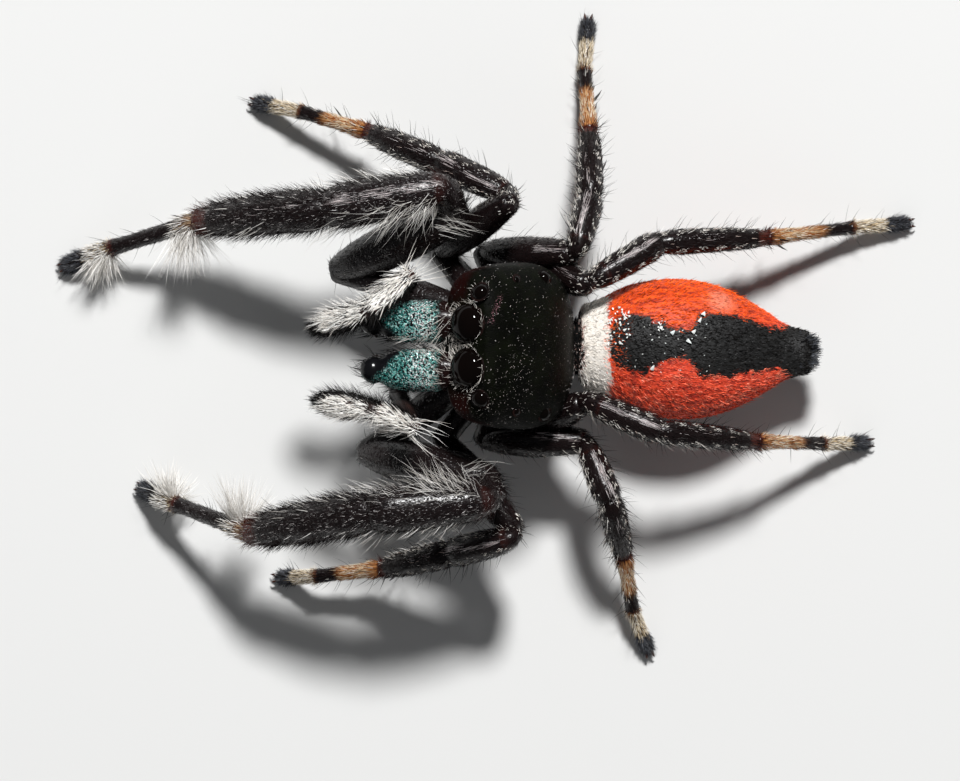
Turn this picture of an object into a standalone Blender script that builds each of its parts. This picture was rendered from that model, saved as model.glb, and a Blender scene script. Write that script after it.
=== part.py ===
import math
import random

import bmesh
import bpy
from mathutils import Matrix, Vector

# A male brilliant jumping spider at life size, standing with its front body reared.
# It faces -Y. Sizes are in millimetres, and each mesh is written in metres.
MM = 0.001
GAP = 0.1
SLIVER = 0.002
SHARP_ANGLE = math.radians(40)

# Front body: it pitches up about the waist, and its own frame runs forward, up and left.
MIDLINE = -0.89
WAIST = (1.68, 1.2)
PITCH = math.radians(44)
CARAPACE_SQUARENESS = 2.7
# forward, half width, top, bottom
CARAPACE = (
    (0.05, 0.45, 0.36, 0.16),
    (0.30, 0.86, 0.62, 0.08),
    (0.80, 1.26, 1.12, 0.03),
    (1.40, 1.56, 1.58, 0.00),
    (2.00, 1.68, 1.85, 0.00),
    (2.60, 1.67, 1.93, 0.00),
    (3.10, 1.60, 1.92, 0.12),
    (3.50, 1.52, 1.84, 0.33),
    (3.72, 1.45, 1.76, 0.41),
    (3.84, 1.36, 1.67, 0.48),
)
# How far its rounded ends reach past the first and last rows, with their size as a share of those rows
CARAPACE_REAR = ((0.07, 0.60), (0.09, 0.0))
CARAPACE_FACE = ((0.07, 0.84), (0.10, 0.45), (0.11, 0.0))
CARAPACE_SIDES = 24
STERNUM = ((0.70, 0.30), (1.20, 0.52), (1.90, 0.55), (2.45, 0.40), (2.95, 0.24))
STERNUM_TOP = -0.05
STERNUM_BOTTOM = -0.62
STERNUM_CAP = 0.08
STERNUM_SQUARENESS = 2.6
STERNUM_SIDES = 12
PEDICEL_RADIUS = 0.26
PEDICEL_START = (0.50, 0.30)
PEDICEL_END = 2.35

# Eyes: forward, up and left of the waist, with their radius. The rear ones sit on the carapace's roof.
FRONT_EYES = {"main": (3.83, 1.18, 0.435, 0.385), "side": (3.77, 1.50, 1.05, 0.18)}
ROOF_EYES = {"small": (2.92, 1.30, 0.09), "rear": (2.08, 1.34, 0.15)}
ROOF_EYE_SUNK = 0.35
FRONT_EYE_SIDES = 14
ROOF_EYE_SIDES = 10

# Chelicerae: their upper and lower ends forward and up, closing in a little toward the tips
CHELICERA_ENDS = ((3.66, 0.52), (4.40, -0.72))
CHELICERA_SPACING = 0.49
CHELICERA_CLOSING = 0.97
CHELICERA_RADIUS = 0.42
CHELICERA_DEPTH = 0.9
CHELICERA_SHAPE = ((0.0, 0.88), (0.25, 1.0), (0.6, 0.98), (0.85, 0.91), (1.0, 0.79))
CHELICERA_SIDES = 14
# Each fang hooks inward from the tip: forward, up and sideways, with its radius
FANG = (((-0.06, -0.24, 0.60), 0.13), ((-0.16, -0.42, 0.44), 0.10), ((-0.36, -0.42, 0.20), 0.04))
FANG_SIDES = 8

# Palps: their joints as x, y and height, from the left of the midline outward
PALP_BASE = ((2.65, -0.50, 0.48), (3.50, -0.84, 0.56), (3.75, -0.95, 0.92))
PALP_BASE_RADII = (0.29, 0.27, 0.21)
PALP_RADIUS = 0.22
PALP_FEMUR_SHAPE = ((0.0, 0.8), (0.4, 1.0), (1.0, 0.9))
PALP_TIBIA_SHAPE = ((0.0, 0.85), (0.5, 1.0), (0.92, 0.9))
CYMBIUM_SHAPE = ((0.08, 0.95), (0.3, 1.0), (0.62, 1.18), (0.9, 0.85), (1.0, 0.5))
PALP_JOINTS = {
    "right": ((-2.25, -1.43, 4.30), (-1.61, -2.16, 4.45), (-1.24, -3.30, 3.60)),
    "left": ((0.74, -1.33, 4.30), (0.39, -2.06, 4.45), (0.21, -3.26, 3.60)),
}

# Abdomen: distance behind the front body's origin, half width; it swings a little to the left
ABDOMEN = (
    (2.02, 0.78),
    (2.40, 0.97),
    (2.90, 1.20),
    (3.40, 1.34),
    (3.90, 1.39),
    (4.40, 1.36),
    (4.90, 1.24),
    (5.40, 1.01),
    (5.85, 0.74),
    (6.15, 0.52),
)
ABDOMEN_DEPTH = 0.88
ABDOMEN_SQUARENESS = 2.2
ABDOMEN_CENTRE = ((-0.86, 1.74), (-0.74, 1.40))
ABDOMEN_BULGES = (0.10, 0.05)
ABDOMEN_SIDES = 22
TAIL = ((6.18, 0.45), (6.45, 0.42), (6.70, 0.37))
TAIL_BULGES = (0.06, 0.09)
TAIL_SIDES = 12
# A rounded end's last ring: how far out it lies and how wide it is, as shares
BULGE_RING = (0.7, 0.72)

# Legs, first to last: where the coxa leaves the sternum, forward, up and sideways
COXAE = {1: (2.45, -0.42, 0.72), 2: (1.85, -0.42, 0.82), 3: (1.30, -0.42, 0.80), 4: (0.80, -0.40, 0.66)}
# femur, knee bend, patella, tibia, metatarsus, tarsus
SEGMENTS = {
    1: (2.90, 0.91, 2.24, 3.04, 2.15, 1.11),
    2: (2.43, 0.56, 1.49, 1.91, 1.46, 0.95),
    3: (2.12, 0.27, 1.16, 1.67, 1.43, 0.92),
    4: (2.24, 0.22, 1.56, 2.33, 1.96, 1.04),
}
# coxa, femur, patella, tibia, metatarsus, tarsus
RADII = {
    1: (0.34, 0.48, 0.46, 0.41, 0.25, 0.23),
    2: (0.30, 0.36, 0.31, 0.28, 0.22, 0.20),
    3: (0.29, 0.36, 0.29, 0.27, 0.21, 0.19),
    4: (0.29, 0.36, 0.29, 0.26, 0.20, 0.19),
}
# Each leg's size, its hip, the way its segments head from straight ahead, and its joints' heights
STANCE = {
    "right_leg_1": (
        1.01, (-2.44, -2.81), (156, 57, -9.9, -4.8, -16.2, -20.5), (1.70, 3.14, 3.81, 3.48, 1.86, 0.77),
    ),
    "left_leg_1": (
        0.99, (1.25, -2.25), (167.5, 76, 5.4, 10.2, -19.7, -23.4), (1.74, 3.20, 4.00, 4.09, 2.41, 1.03),
    ),
    "right_leg_2": (1.04, (-2.78, -0.76), (144, 68, 25, 24, 17, 12), (1.62, 3.53, 2.99, 2.37, 1.23, 0.71)),
    "left_leg_2": (0.96, (0.99, -0.76), (129, 71, 15, 13, 7, 3), (1.97, 2.64, 3.12, 2.27, 1.19, 0.80)),
    "right_leg_3": (1.02, (-2.77, 0.10), (-179, 140, 104, 90, 86, 94), (1.26, 2.58, 2.78, 2.16, 1.19, 0.42)),
    "left_leg_3": (0.98, (0.98, 0.10), (179, 135, 112, 105, 100, 111), (1.37, 2.14, 2.32, 2.55, 1.41, 0.61)),
    "right_leg_4": (
        1.02, (-2.61, 0.97), (-156, 153, 150, 177, 173, 175), (0.93, 2.86, 2.73, 2.26, 1.40, 0.51),
    ),
    "left_leg_4": (
        0.98, (0.80, 0.97), (-153, -166, 157, 174, 178, -179), (0.97, 2.82, 2.97, 3.23, 2.11, 0.80),
    ),
}
TOE_HEIGHT = 0.17

# Thickness along each segment, as shares of its radius
COXA_SHAPE = ((0.0, 0.82), (0.35, 1.0), (0.7, 0.88), (1.0, 0.92))
FEMUR_SHAPE = ((0.0, 0.66), (0.2, 0.90), (0.5, 1.0), (0.8, 0.88), (1.0, 0.76))
PATELLA_SHAPE = ((0.0, 0.80), (0.35, 0.94), (0.7, 1.0), (0.93, 0.88))
TIBIA_SHAPE = ((0.1, 0.94), (0.45, 1.0), (0.80, 0.88), (0.94, 0.70))
METATARSUS_SHAPE = ((0.0, 1.0), (0.3, 0.96), (0.9, 0.92))
TARSUS_SHAPE = ((0.15, 0.96), (0.6, 1.0), (1.0, 1.1))
ELBOW_SHARE = 0.72
FEMUR_DEPTH = 1.08
# How far each segment arches up between its joints
FEMUR_ARCH = 0.12
PATELLA_ARCH = 0.05
TIBIA_ARCH = 0.08
LIMB_SIDES = 10
SLIM_SIDES = 8

# Locks of hair, in rows along a limb: from, to, locks, turn from and to (0 outward, 90 on top,
# 180 inward), how steeply they rise, 1 toward the tip or -1 toward the root, length, width
PALP_LOCKS = (
    (0.01, 0.09, 6, 25, 165, 38, -1, 0.72, 0.20),
    (0.14, 0.72, 15, -25, 205, 26, 1, 0.48, 0.28),
    (0.72, 0.92, 6, -35, 215, 34, 1, 0.24, 0.22),
    (0.35, 0.80, 6, 220, 320, 50, 1, 0.36, 0.22),
)
FEMUR_LOCKS = ((0.58, 0.84, 6, 130, 205, 68, 1, 0.72, 0.24),)
PATELLA_LOCKS = (
    (0.33, 0.62, 7, 155, 195, 68, 1, 0.86, 0.26),
    (0.66, 0.88, 3, 165, 215, 46, 1, 0.54, 0.26),
    (0.92, 0.98, 2, 160, 190, 76, 1, 0.70, 0.22),
    (0.90, 0.98, 2, -20, 20, 72, 1, 0.54, 0.22),
    (0.40, 0.85, 4, -50, 10, 34, 1, 0.34, 0.26),
)
TIBIA_LOCKS = (
    (0.06, 0.88, 8, 165, 225, 42, 1, 0.52, 0.28),
    (0.06, 0.88, 6, -50, 10, 32, 1, 0.34, 0.26),
)
FOOT_LOCKS = (
    (0.03, 0.15, 6, 160, 235, 78, 1, 0.74, 0.26),
    (0.62, 0.73, 4, 130, 240, 58, 1, 0.40, 0.22),
)
LOCK_SHAPE = ((0.0, 1.0), (0.4, 0.82), (0.75, 0.46))
LOCK_THICKNESS = 0.5
LOCK_BEND = 0.7
LOCK_DROOP = 0.4
LOCK_ROOT = 0.55
# How far the locks differ from one another: place in the row, rise in degrees and length
LOCK_PLACES = (0.2, 0.8)
LOCK_RISE_SPREAD = 7
LOCK_LENGTHS = (0.85, 1.1)
GOLDEN = 0.618

# Base colour, roughness and metallic
COLOURS = {
    "black": ((0.012, 0.011, 0.012), 0.38, 0.0),
    "carapace": ((0.010, 0.012, 0.009), 0.30, 0.0),
    "teal": ((0.015, 0.210, 0.190), 0.28, 0.35),
    "cream": ((0.780, 0.700, 0.600), 0.85, 0.0),
    "red": ((0.620, 0.060, 0.018), 0.60, 0.0),
    "lens": ((0.004, 0.004, 0.004), 0.04, 0.0),
    "brown": ((0.060, 0.020, 0.014), 0.35, 0.0),
}

SIDES = (("right", -1), ("left", 1))
built = []


def prosoma(forward, up, left=0.0):
    """The point at these distances in the front body's pitched frame."""
    y = WAIST[0] - forward * math.cos(PITCH) + up * math.sin(PITCH)
    z = WAIST[1] + forward * math.sin(PITCH) + up * math.cos(PITCH)
    return Vector((MIDLINE + left, y, z))


def skin(rings, start, end):
    """Points and faces of a closed surface through rings of equal count, from one pole to the other."""
    count = len(rings[0])
    points = [start] + [point for ring in rings for point in ring] + [end]
    last = len(points) - 1
    faces = []
    for side in range(count):
        following = (side + 1) % count
        faces.append((0, 1 + following, 1 + side))
        for row in range(len(rings) - 1):
            low = 1 + row * count
            high = low + count
            faces.append((low + side, low + following, high + following, high + side))
        top = 1 + (len(rings) - 1) * count
        faces.append((last, top + side, top + following))
    return points, faces


def sweep_frames(points):
    """The direction, and two vectors across it, at each point of a path."""
    frames = []
    side = None
    for index, point in enumerate(points):
        back = (point - points[max(index - 1, 0)]).normalized()
        ahead = (points[min(index + 1, len(points) - 1)] - point).normalized()
        along = (back + ahead).normalized()
        if side is None:
            side = along.cross(Vector((0, 0, 1)))
        side = (side - along * side.dot(along)).normalized()
        frames.append((along, side, along.cross(side)))
    return frames


def tube(stations, sides=LIMB_SIDES, depth=1.0):
    """A limb through (point, radius) stations with round ends; depth is its height over its width."""
    points = [point for point, radius in stations]
    frames = sweep_frames(points)

    def build(grow):
        def ring(index, shift, share):
            along, side, upright = frames[index]
            radius = stations[index][1]
            wide = (radius + grow) * share
            high = (radius * depth + grow) * share
            centre = points[index] + along * shift
            circle = []
            for step in range(sides):
                turn = math.tau * step / sides
                circle.append(centre + side * (wide * math.cos(turn)) + upright * (high * math.sin(turn)))
            return circle

        first = stations[0][1] + grow
        final = stations[-1][1] + grow
        half = math.sqrt(0.5)
        rings = [ring(0, -first * half, half)]
        rings += [ring(index, 0.0, 1.0) for index in range(len(points))]
        rings.append(ring(-1, final * half, half))
        return skin(rings, points[0] - frames[0][0] * first, points[-1] + frames[-1][0] * final)

    return build


def ball(centre, radius, sides, axis=Vector((0, 0, 1))):
    """A sphere whose poles lie on the axis."""
    turn = Vector((0, 0, 1)).rotation_difference(axis)
    rows = sides // 2

    def build(grow):
        size = radius + grow
        rings = []
        for row in range(1, rows):
            polar = math.pi * (1 - row / rows)
            ring = []
            for step in range(sides):
                around = math.tau * step / sides
                flat = Vector((math.cos(around), math.sin(around), 0)) * math.sin(polar)
                ring.append(centre + turn @ (flat + Vector((0, 0, math.cos(polar)))) * size)
            rings.append(ring)
        pole = turn @ Vector((0, 0, size))
        return skin(rings, centre - pole, centre + pole)

    return build


def squared(turn, squareness):
    """Sideways and upward shares of a rounded box's outline at this turn."""
    cosine = math.cos(turn)
    sine = math.sin(turn)
    across = math.copysign(abs(cosine) ** (2 / squareness), cosine)
    return across, math.copysign(abs(sine) ** (2 / squareness), sine)


def at_station(stations, along):
    """A station's values at any distance along, between the two rows that it lies between."""
    for low, high in zip(stations, stations[1:]):
        if along <= high[0]:
            share = max(0.0, (along - low[0]) / (high[0] - low[0]))
            return [a + (b - a) * share for a, b in zip(low[1:], high[1:])]
    return list(stations[-1][1:])


def carapace_roof(forward, left):
    """The roof's height at this place in the front body's frame."""
    half, top, bottom = at_station(CARAPACE, forward)
    share = (1 - abs(left / half) ** CARAPACE_SQUARENESS) ** (1 / CARAPACE_SQUARENESS)
    return (top + bottom) / 2 + (top - bottom) / 2 * share


def carapace(grow):
    rings = []
    first = CARAPACE[0]
    last = CARAPACE[-1]
    rows = [(first[0] - reach, share, first) for reach, share in CARAPACE_REAR[:-1]]
    rows += [(row[0], 1.0, row) for row in CARAPACE]
    rows += [(last[0] + reach, share, last) for reach, share in CARAPACE_FACE[:-1]]
    for forward, share, (_, half, top, bottom) in rows:
        middle = (top + bottom) / 2
        if forward <= first[0]:
            forward -= grow
        if forward >= last[0]:
            forward += grow
        ring = []
        for step in range(CARAPACE_SIDES):
            across, up = squared(math.tau * step / CARAPACE_SIDES, CARAPACE_SQUARENESS)
            high = middle + up * ((top - bottom) / 2 * share + grow)
            ring.append(prosoma(forward, high, across * (half * share + grow)))
        rings.append(ring)
    start = prosoma(first[0] - CARAPACE_REAR[-1][0] - grow, (first[2] + first[3]) / 2)
    end = prosoma(last[0] + CARAPACE_FACE[-1][0] + grow, (last[2] + last[3]) / 2)
    return skin(rings, start, end)


def sternum(grow):
    rings = []
    middle = (STERNUM_TOP + STERNUM_BOTTOM) / 2
    deep = (STERNUM_TOP - STERNUM_BOTTOM) / 2 + grow
    for index, (forward, half) in enumerate(STERNUM):
        if index == 0:
            forward -= grow
        if index == len(STERNUM) - 1:
            forward += grow
        ring = []
        for step in range(STERNUM_SIDES):
            across, up = squared(math.tau * step / STERNUM_SIDES, STERNUM_SQUARENESS)
            ring.append(prosoma(forward, middle + up * deep, across * (half + grow)))
        rings.append(ring)
    start = prosoma(STERNUM[0][0] - STERNUM_CAP - grow, middle)
    end = prosoma(STERNUM[-1][0] + STERNUM_CAP + grow, middle)
    return skin(rings, start, end)


def abdomen_middle(y):
    """The abdomen's centre line, which drops and swings left toward the tail."""
    share = (y - ABDOMEN[0][0]) / (TAIL[-1][0] - ABDOMEN[0][0])
    front, rear = ABDOMEN_CENTRE
    return Vector((front[0] + (rear[0] - front[0]) * share, y, front[1] + (rear[1] - front[1]) * share))


def barrel(stations, sides, bulges):
    """A body lofted along the abdomen's centre line through (distance, half width) stations."""
    front_bulge, rear_bulge = bulges
    out, narrow = BULGE_RING

    def build(grow):
        first = stations[0]
        last = stations[-1]
        rows = [(first[0] - front_bulge * out - grow, first[1] * narrow)]
        rows += [(first[0] - grow, first[1])]
        rows += list(stations[1:-1])
        rows += [(last[0] + grow, last[1])]
        rows += [(last[0] + rear_bulge * out + grow, last[1] * narrow)]
        rings = []
        for y, half in rows:
            ring = []
            for step in range(sides):
                across, up = squared(math.tau * step / sides, ABDOMEN_SQUARENESS)
                offset = Vector((across * (half + grow), 0, up * (half * ABDOMEN_DEPTH + grow)))
                ring.append(abdomen_middle(y) + offset)
            rings.append(ring[::-1])
        start = abdomen_middle(first[0] - front_bulge - grow)
        end = abdomen_middle(last[0] + rear_bulge + grow)
        return skin(rings, start, end)

    return build


def segment(start, end, shape, radius, bow=0.0):
    """Stations along a straight or slightly arched segment, thick as its shape says."""
    arch = Vector((0, 0, bow))
    return [(start.lerp(end, t) + arch * (4 * t * (1 - t)), radius * share) for t, share in shape]


def path_at(stations, share):
    """The point, radius and direction at this share of a limb's length."""
    lengths = [(high[0] - low[0]).length for low, high in zip(stations, stations[1:])]
    left = share * sum(lengths)
    row = 0
    while left > lengths[row]:
        left -= lengths[row]
        row += 1
    low, high = stations[row], stations[row + 1]
    part = left / lengths[row]
    return low[0].lerp(high[0], part), low[1] + (high[1] - low[1]) * part, (high[0] - low[0]).normalized()


def lock(root, direction, bend, length, width):
    """A flat, tapered lock of hair that leaves its root one way and bends toward another."""
    flat = direction.cross(bend).normalized()

    def build(grow):
        rings = []
        for share, size in LOCK_SHAPE:
            along = (direction + bend * share).normalized()
            centre = root + (direction * share + bend * (share**2 / 2)) * length
            across = flat * (width / 2 * size + grow)
            deep = along.cross(flat) * (width / 2 * LOCK_THICKNESS * size + grow)
            rings.append([centre + across, centre + deep, centre - across, centre - deep])
        tip = root + (direction + bend / 2) * length + (direction + bend).normalized() * grow
        return skin(rings, root - direction * (width / 4 + grow), tip)

    return build


def coat(stations, outward, rows, seed):
    """Locks rooted inside a limb, each bent along the limb toward its tip or its root."""
    draw = random.Random(seed)
    locks = []
    for first, last, count, turn_from, turn_to, rise, heading, length, width in rows:
        for index in range(count):
            share = first + (last - first) * (index + draw.uniform(*LOCK_PLACES)) / count
            centre, radius, along = path_at(stations, share)
            top = (Vector((0, 0, 1)) - along * along.z).normalized()
            out = along.cross(top)
            if out.x * outward < 0:
                out = -out
            turn = math.radians(turn_from + (turn_to - turn_from) * (index * GOLDEN % 1))
            radial = out * math.cos(turn) + top * math.sin(turn)
            lift = math.radians(rise + draw.uniform(-LOCK_RISE_SPREAD, LOCK_RISE_SPREAD))
            direction = radial * math.sin(lift) + along * (heading * math.cos(lift))
            bend = along * (heading * LOCK_BEND) - radial * (LOCK_BEND * LOCK_DROOP * math.sin(lift))
            root = centre + radial * (radius * LOCK_ROOT)
            reach = radius * (1 - LOCK_ROOT) + length * draw.uniform(*LOCK_LENGTHS)
            locks.append(lock(root, direction, bend, reach, width))
    return locks


def leg_joints(name):
    """Hip, femur's end, knee, patella's end, tibia's end, metatarsus's end and toe."""
    size, hip, headings, heights = STANCE[name]
    outward = -1 if name.startswith("right") else 1
    levels = list(heights) + [TOE_HEIGHT]
    points = [Vector((hip[0], hip[1], levels[0]))]
    for length, heading, low, high in zip(SEGMENTS[int(name[-1])], headings, levels, levels[1:]):
        rise = high - low
        run = math.sqrt((length * size) ** 2 - rise**2)
        turn = math.radians(heading)
        points.append(points[-1] + Vector((outward * run * math.sin(turn), -run * math.cos(turn), rise)))
    return points


def material(colour):
    made = bpy.data.materials.get(colour)
    if made is None:
        base, roughness, metallic = COLOURS[colour]
        made = bpy.data.materials.new(colour)
        made.use_nodes = True
        shader = made.node_tree.nodes["Principled BSDF"]
        shader.inputs["Base Color"].default_value = (*base, 1.0)
        shader.inputs["Roughness"].default_value = roughness
        shader.inputs["Metallic"].default_value = metallic
    return made


def mesh_object(name, points, faces):
    mesh = bpy.data.meshes.new(name)
    mesh.from_pydata([point * MM for point in points], [], faces)
    made = bpy.data.objects.new(name, mesh)
    bpy.context.scene.collection.objects.link(made)
    return made


def combine(piece, operation, forms, grow):
    """Join the forms to the piece, or cut them from it, in one Boolean on a collection."""
    group = bpy.data.collections.new("operands")
    bpy.context.scene.collection.children.link(group)
    for form in forms:
        operand = mesh_object("operand", *form(grow))
        bpy.context.scene.collection.objects.unlink(operand)
        group.objects.link(operand)
    modifier = piece.modifiers.new("combine", "BOOLEAN")
    modifier.operation = operation
    modifier.solver = "EXACT"
    modifier.operand_type = "COLLECTION"
    modifier.collection = group
    evaluated = piece.evaluated_get(bpy.context.evaluated_depsgraph_get())
    piece.data = bpy.data.meshes.new_from_object(evaluated)
    piece.modifiers.clear()
    for operand in list(group.objects):
        bpy.data.objects.remove(operand)
    bpy.data.collections.remove(group)


def keep_largest(piece):
    """Close up the slivers that cutting leaves, and keep the largest closed surface."""
    bm = bmesh.new()
    bm.from_mesh(piece.data)
    bmesh.ops.triangulate(bm, faces=bm.faces)
    bmesh.ops.dissolve_degenerate(bm, edges=bm.edges, dist=SLIVER * MM)
    waiting = set(bm.faces)
    groups = []
    while waiting:
        group = {waiting.pop()}
        edge_of_group = list(group)
        while edge_of_group:
            face = edge_of_group.pop()
            beside = {other for edge in face.edges for other in edge.link_faces} & waiting
            waiting -= beside
            group |= beside
            edge_of_group += beside
        groups.append(group)
    groups.sort(key=lambda group: sum(face.calc_area() for face in group))
    scraps = [face for group in groups[:-1] for face in group]
    bmesh.ops.delete(bm, geom=scraps, context="FACES")
    bm.to_mesh(piece.data)
    bm.free()


def bounds(points):
    low = Vector([min(point[axis] for point in points) for axis in range(3)])
    return low, Vector([max(point[axis] for point in points) for axis in range(3)])


def near(box, other):
    return all(box[0][axis] <= other[1][axis] and other[0][axis] <= box[1][axis] for axis in range(3))


def node(name, colour, form, extras=()):
    """Make a named piece of its form and extras, cut clear of every piece before it."""
    forms = [form, *extras]
    grown = bounds([point for each in forms for point in each(GAP)[0]])
    piece = mesh_object(name, *form(0.0))
    if extras:
        combine(piece, "UNION", extras, 0.0)
    cutters = [each for other in built for each in other if near(grown, bounds(each(GAP)[0]))]
    if cutters:
        combine(piece, "DIFFERENCE", cutters, GAP)
    keep_largest(piece)
    piece.data.materials.clear()
    piece.data.materials.append(material(colour))
    piece.data.shade_smooth()
    piece.data.set_sharp_from_angle(angle=SHARP_ANGLE)
    built.append(forms)
    return piece


def stand_on_floor(piece):
    """Cut a foot off level with the floor, so that it rests on a small flat."""
    bm = bmesh.new()
    bm.from_mesh(piece.data)
    geometry = bm.verts[:] + bm.edges[:] + bm.faces[:]
    bmesh.ops.bisect_plane(bm, geom=geometry, plane_co=(0, 0, 0), plane_no=(0, 0, -1), clear_outer=True)
    rim = [edge for edge in bm.edges if edge.is_boundary]
    bmesh.ops.contextual_create(bm, geom=rim)
    bmesh.ops.triangulate(bm, faces=bm.faces)
    bm.to_mesh(piece.data)
    bm.free()


def make_eyes():
    facing = prosoma(1, 0) - prosoma(0, 0)
    for side, sign in SIDES:
        for name, (forward, up, left, radius) in FRONT_EYES.items():
            centre = prosoma(forward, up, sign * left)
            node(f"{side}_{name}_eye", "lens", ball(centre, radius, FRONT_EYE_SIDES, facing))
        for name, (forward, left, radius) in ROOF_EYES.items():
            centre = prosoma(forward, carapace_roof(forward, left) - radius * ROOF_EYE_SUNK, sign * left)
            node(f"{side}_{name}_eye", "lens", ball(centre, radius, ROOF_EYE_SIDES))


def make_body():
    waist = tube([(prosoma(*PEDICEL_START), PEDICEL_RADIUS), (abdomen_middle(PEDICEL_END), PEDICEL_RADIUS)])
    node("pedicel", "black", waist)
    node("carapace", "carapace", carapace)
    node("sternum", "black", sternum)
    node("abdomen", "red", barrel(ABDOMEN, ABDOMEN_SIDES, ABDOMEN_BULGES))
    node("spinnerets", "black", barrel(TAIL, TAIL_SIDES, TAIL_BULGES))


def make_jaws():
    (top_forward, top_up), (tip_forward, tip_up) = CHELICERA_ENDS
    for side, sign in SIDES:
        top = prosoma(top_forward, top_up, sign * CHELICERA_SPACING)
        tip = prosoma(tip_forward, tip_up, sign * CHELICERA_SPACING * CHELICERA_CLOSING)
        stations = segment(top, tip, CHELICERA_SHAPE, CHELICERA_RADIUS)
        node(f"{side}_chelicera", "teal", tube(stations, CHELICERA_SIDES, CHELICERA_DEPTH))
        stations = []
        for (forward, up, left), radius in FANG:
            stations.append((prosoma(tip_forward + forward, tip_up + up, sign * left), radius))
        node(f"{side}_fang", "brown", tube(stations, FANG_SIDES))


def make_palps():
    for side, sign in SIDES:
        base = [prosoma(forward, up, sign * left) for forward, up, left in PALP_BASE]
        knee, wrist, tip = [Vector(joint) for joint in PALP_JOINTS[side]]
        node(f"{side}_palp_base", "black", tube(list(zip(base, PALP_BASE_RADII))))
        stations = segment(base[-1], knee, PALP_FEMUR_SHAPE, PALP_RADIUS)
        node(f"{side}_palp_femur", "black", tube(stations, SLIM_SIDES))
        stations = segment(knee, wrist, PALP_TIBIA_SHAPE, PALP_RADIUS)
        stations += segment(wrist, tip, CYMBIUM_SHAPE, PALP_RADIUS)
        node(f"{side}_palp_brush", "cream", tube(stations), coat(stations, sign, PALP_LOCKS, side))


def make_legs():
    for name in STANCE:
        pair = int(name[-1])
        outward = -1 if name.startswith("right") else 1
        coxa, femur, patella, tibia, metatarsus, tarsus = RADII[pair]
        forward, up, sideways = COXAE[pair]
        root = prosoma(forward, up, outward * sideways)
        hip, elbow, knee, shin, ankle, heel, toe = leg_joints(name)
        node(f"{name}_coxa", "black", tube(segment(root, hip, COXA_SHAPE, coxa), SLIM_SIDES))
        upper = segment(hip, elbow, FEMUR_SHAPE, femur, FEMUR_ARCH)
        middle = [(elbow, patella * ELBOW_SHARE)]
        middle += segment(knee, shin, PATELLA_SHAPE, patella, PATELLA_ARCH)
        lower = segment(shin, ankle, TIBIA_SHAPE, tibia, TIBIA_ARCH)
        end = segment(ankle, heel, METATARSUS_SHAPE, metatarsus)
        end += segment(heel, toe, TARSUS_SHAPE, tarsus)
        thigh = tube(upper, depth=FEMUR_DEPTH)
        lower_foot = tube(end, SLIM_SIDES)
        if pair == 1:
            node(f"{name}_femur", "black", thigh, coat(upper, outward, FEMUR_LOCKS, name))
            node(f"{name}_patella", "black", tube(middle), coat(middle, outward, PATELLA_LOCKS, name))
            node(f"{name}_tibia", "black", tube(lower), coat(lower, outward, TIBIA_LOCKS, name))
            foot = node(f"{name}_foot", "black", lower_foot, coat(end, outward, FOOT_LOCKS, name))
        else:
            node(f"{name}_femur", "black", thigh)
            node(f"{name}_shin", "black", tube(middle + lower))
            foot = node(f"{name}_foot", "black", lower_foot)
        stand_on_floor(foot)


def centre_on_origin():
    """Move every piece so that the middle of the whole footprint is at the origin."""
    pieces = list(bpy.context.scene.collection.objects)
    low, high = bounds([vertex.co for piece in pieces for vertex in piece.data.vertices])
    shift = Matrix.Translation((-(low.x + high.x) / 2, -(low.y + high.y) / 2, 0))
    for piece in pieces:
        piece.data.transform(shift)


for old in list(bpy.data.objects):
    bpy.data.objects.remove(old)
make_eyes()
make_body()
make_jaws()
make_palps()
make_legs()
centre_on_origin()
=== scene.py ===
import math

import bpy
import numpy as np
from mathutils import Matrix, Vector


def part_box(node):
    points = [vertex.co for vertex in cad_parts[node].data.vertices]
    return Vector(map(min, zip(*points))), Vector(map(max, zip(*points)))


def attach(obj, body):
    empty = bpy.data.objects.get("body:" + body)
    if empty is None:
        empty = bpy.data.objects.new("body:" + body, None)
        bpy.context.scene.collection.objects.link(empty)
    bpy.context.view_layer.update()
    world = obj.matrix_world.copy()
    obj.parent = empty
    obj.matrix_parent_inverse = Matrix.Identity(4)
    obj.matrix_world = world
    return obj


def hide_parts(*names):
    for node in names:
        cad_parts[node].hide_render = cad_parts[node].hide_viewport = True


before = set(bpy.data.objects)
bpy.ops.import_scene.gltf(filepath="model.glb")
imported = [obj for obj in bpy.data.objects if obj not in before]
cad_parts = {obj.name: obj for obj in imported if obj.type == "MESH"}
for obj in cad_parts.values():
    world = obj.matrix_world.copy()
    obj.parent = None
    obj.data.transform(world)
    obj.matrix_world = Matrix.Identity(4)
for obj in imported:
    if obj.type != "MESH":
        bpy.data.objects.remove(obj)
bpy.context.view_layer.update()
print("frame loaded:", len(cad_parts), "nodes")

# Sizes are in millimetres, in the CAD's own layout before it was centred on the origin.
millimetre = 0.001
sides = {"right": -1, "left": 1}

# The front body pitches up about its waist; places on it run forward, up and left of there
frontBody = {"midline": -0.89, "waist": (1.68, 1.2), "pitch": math.radians(44)}
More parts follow.
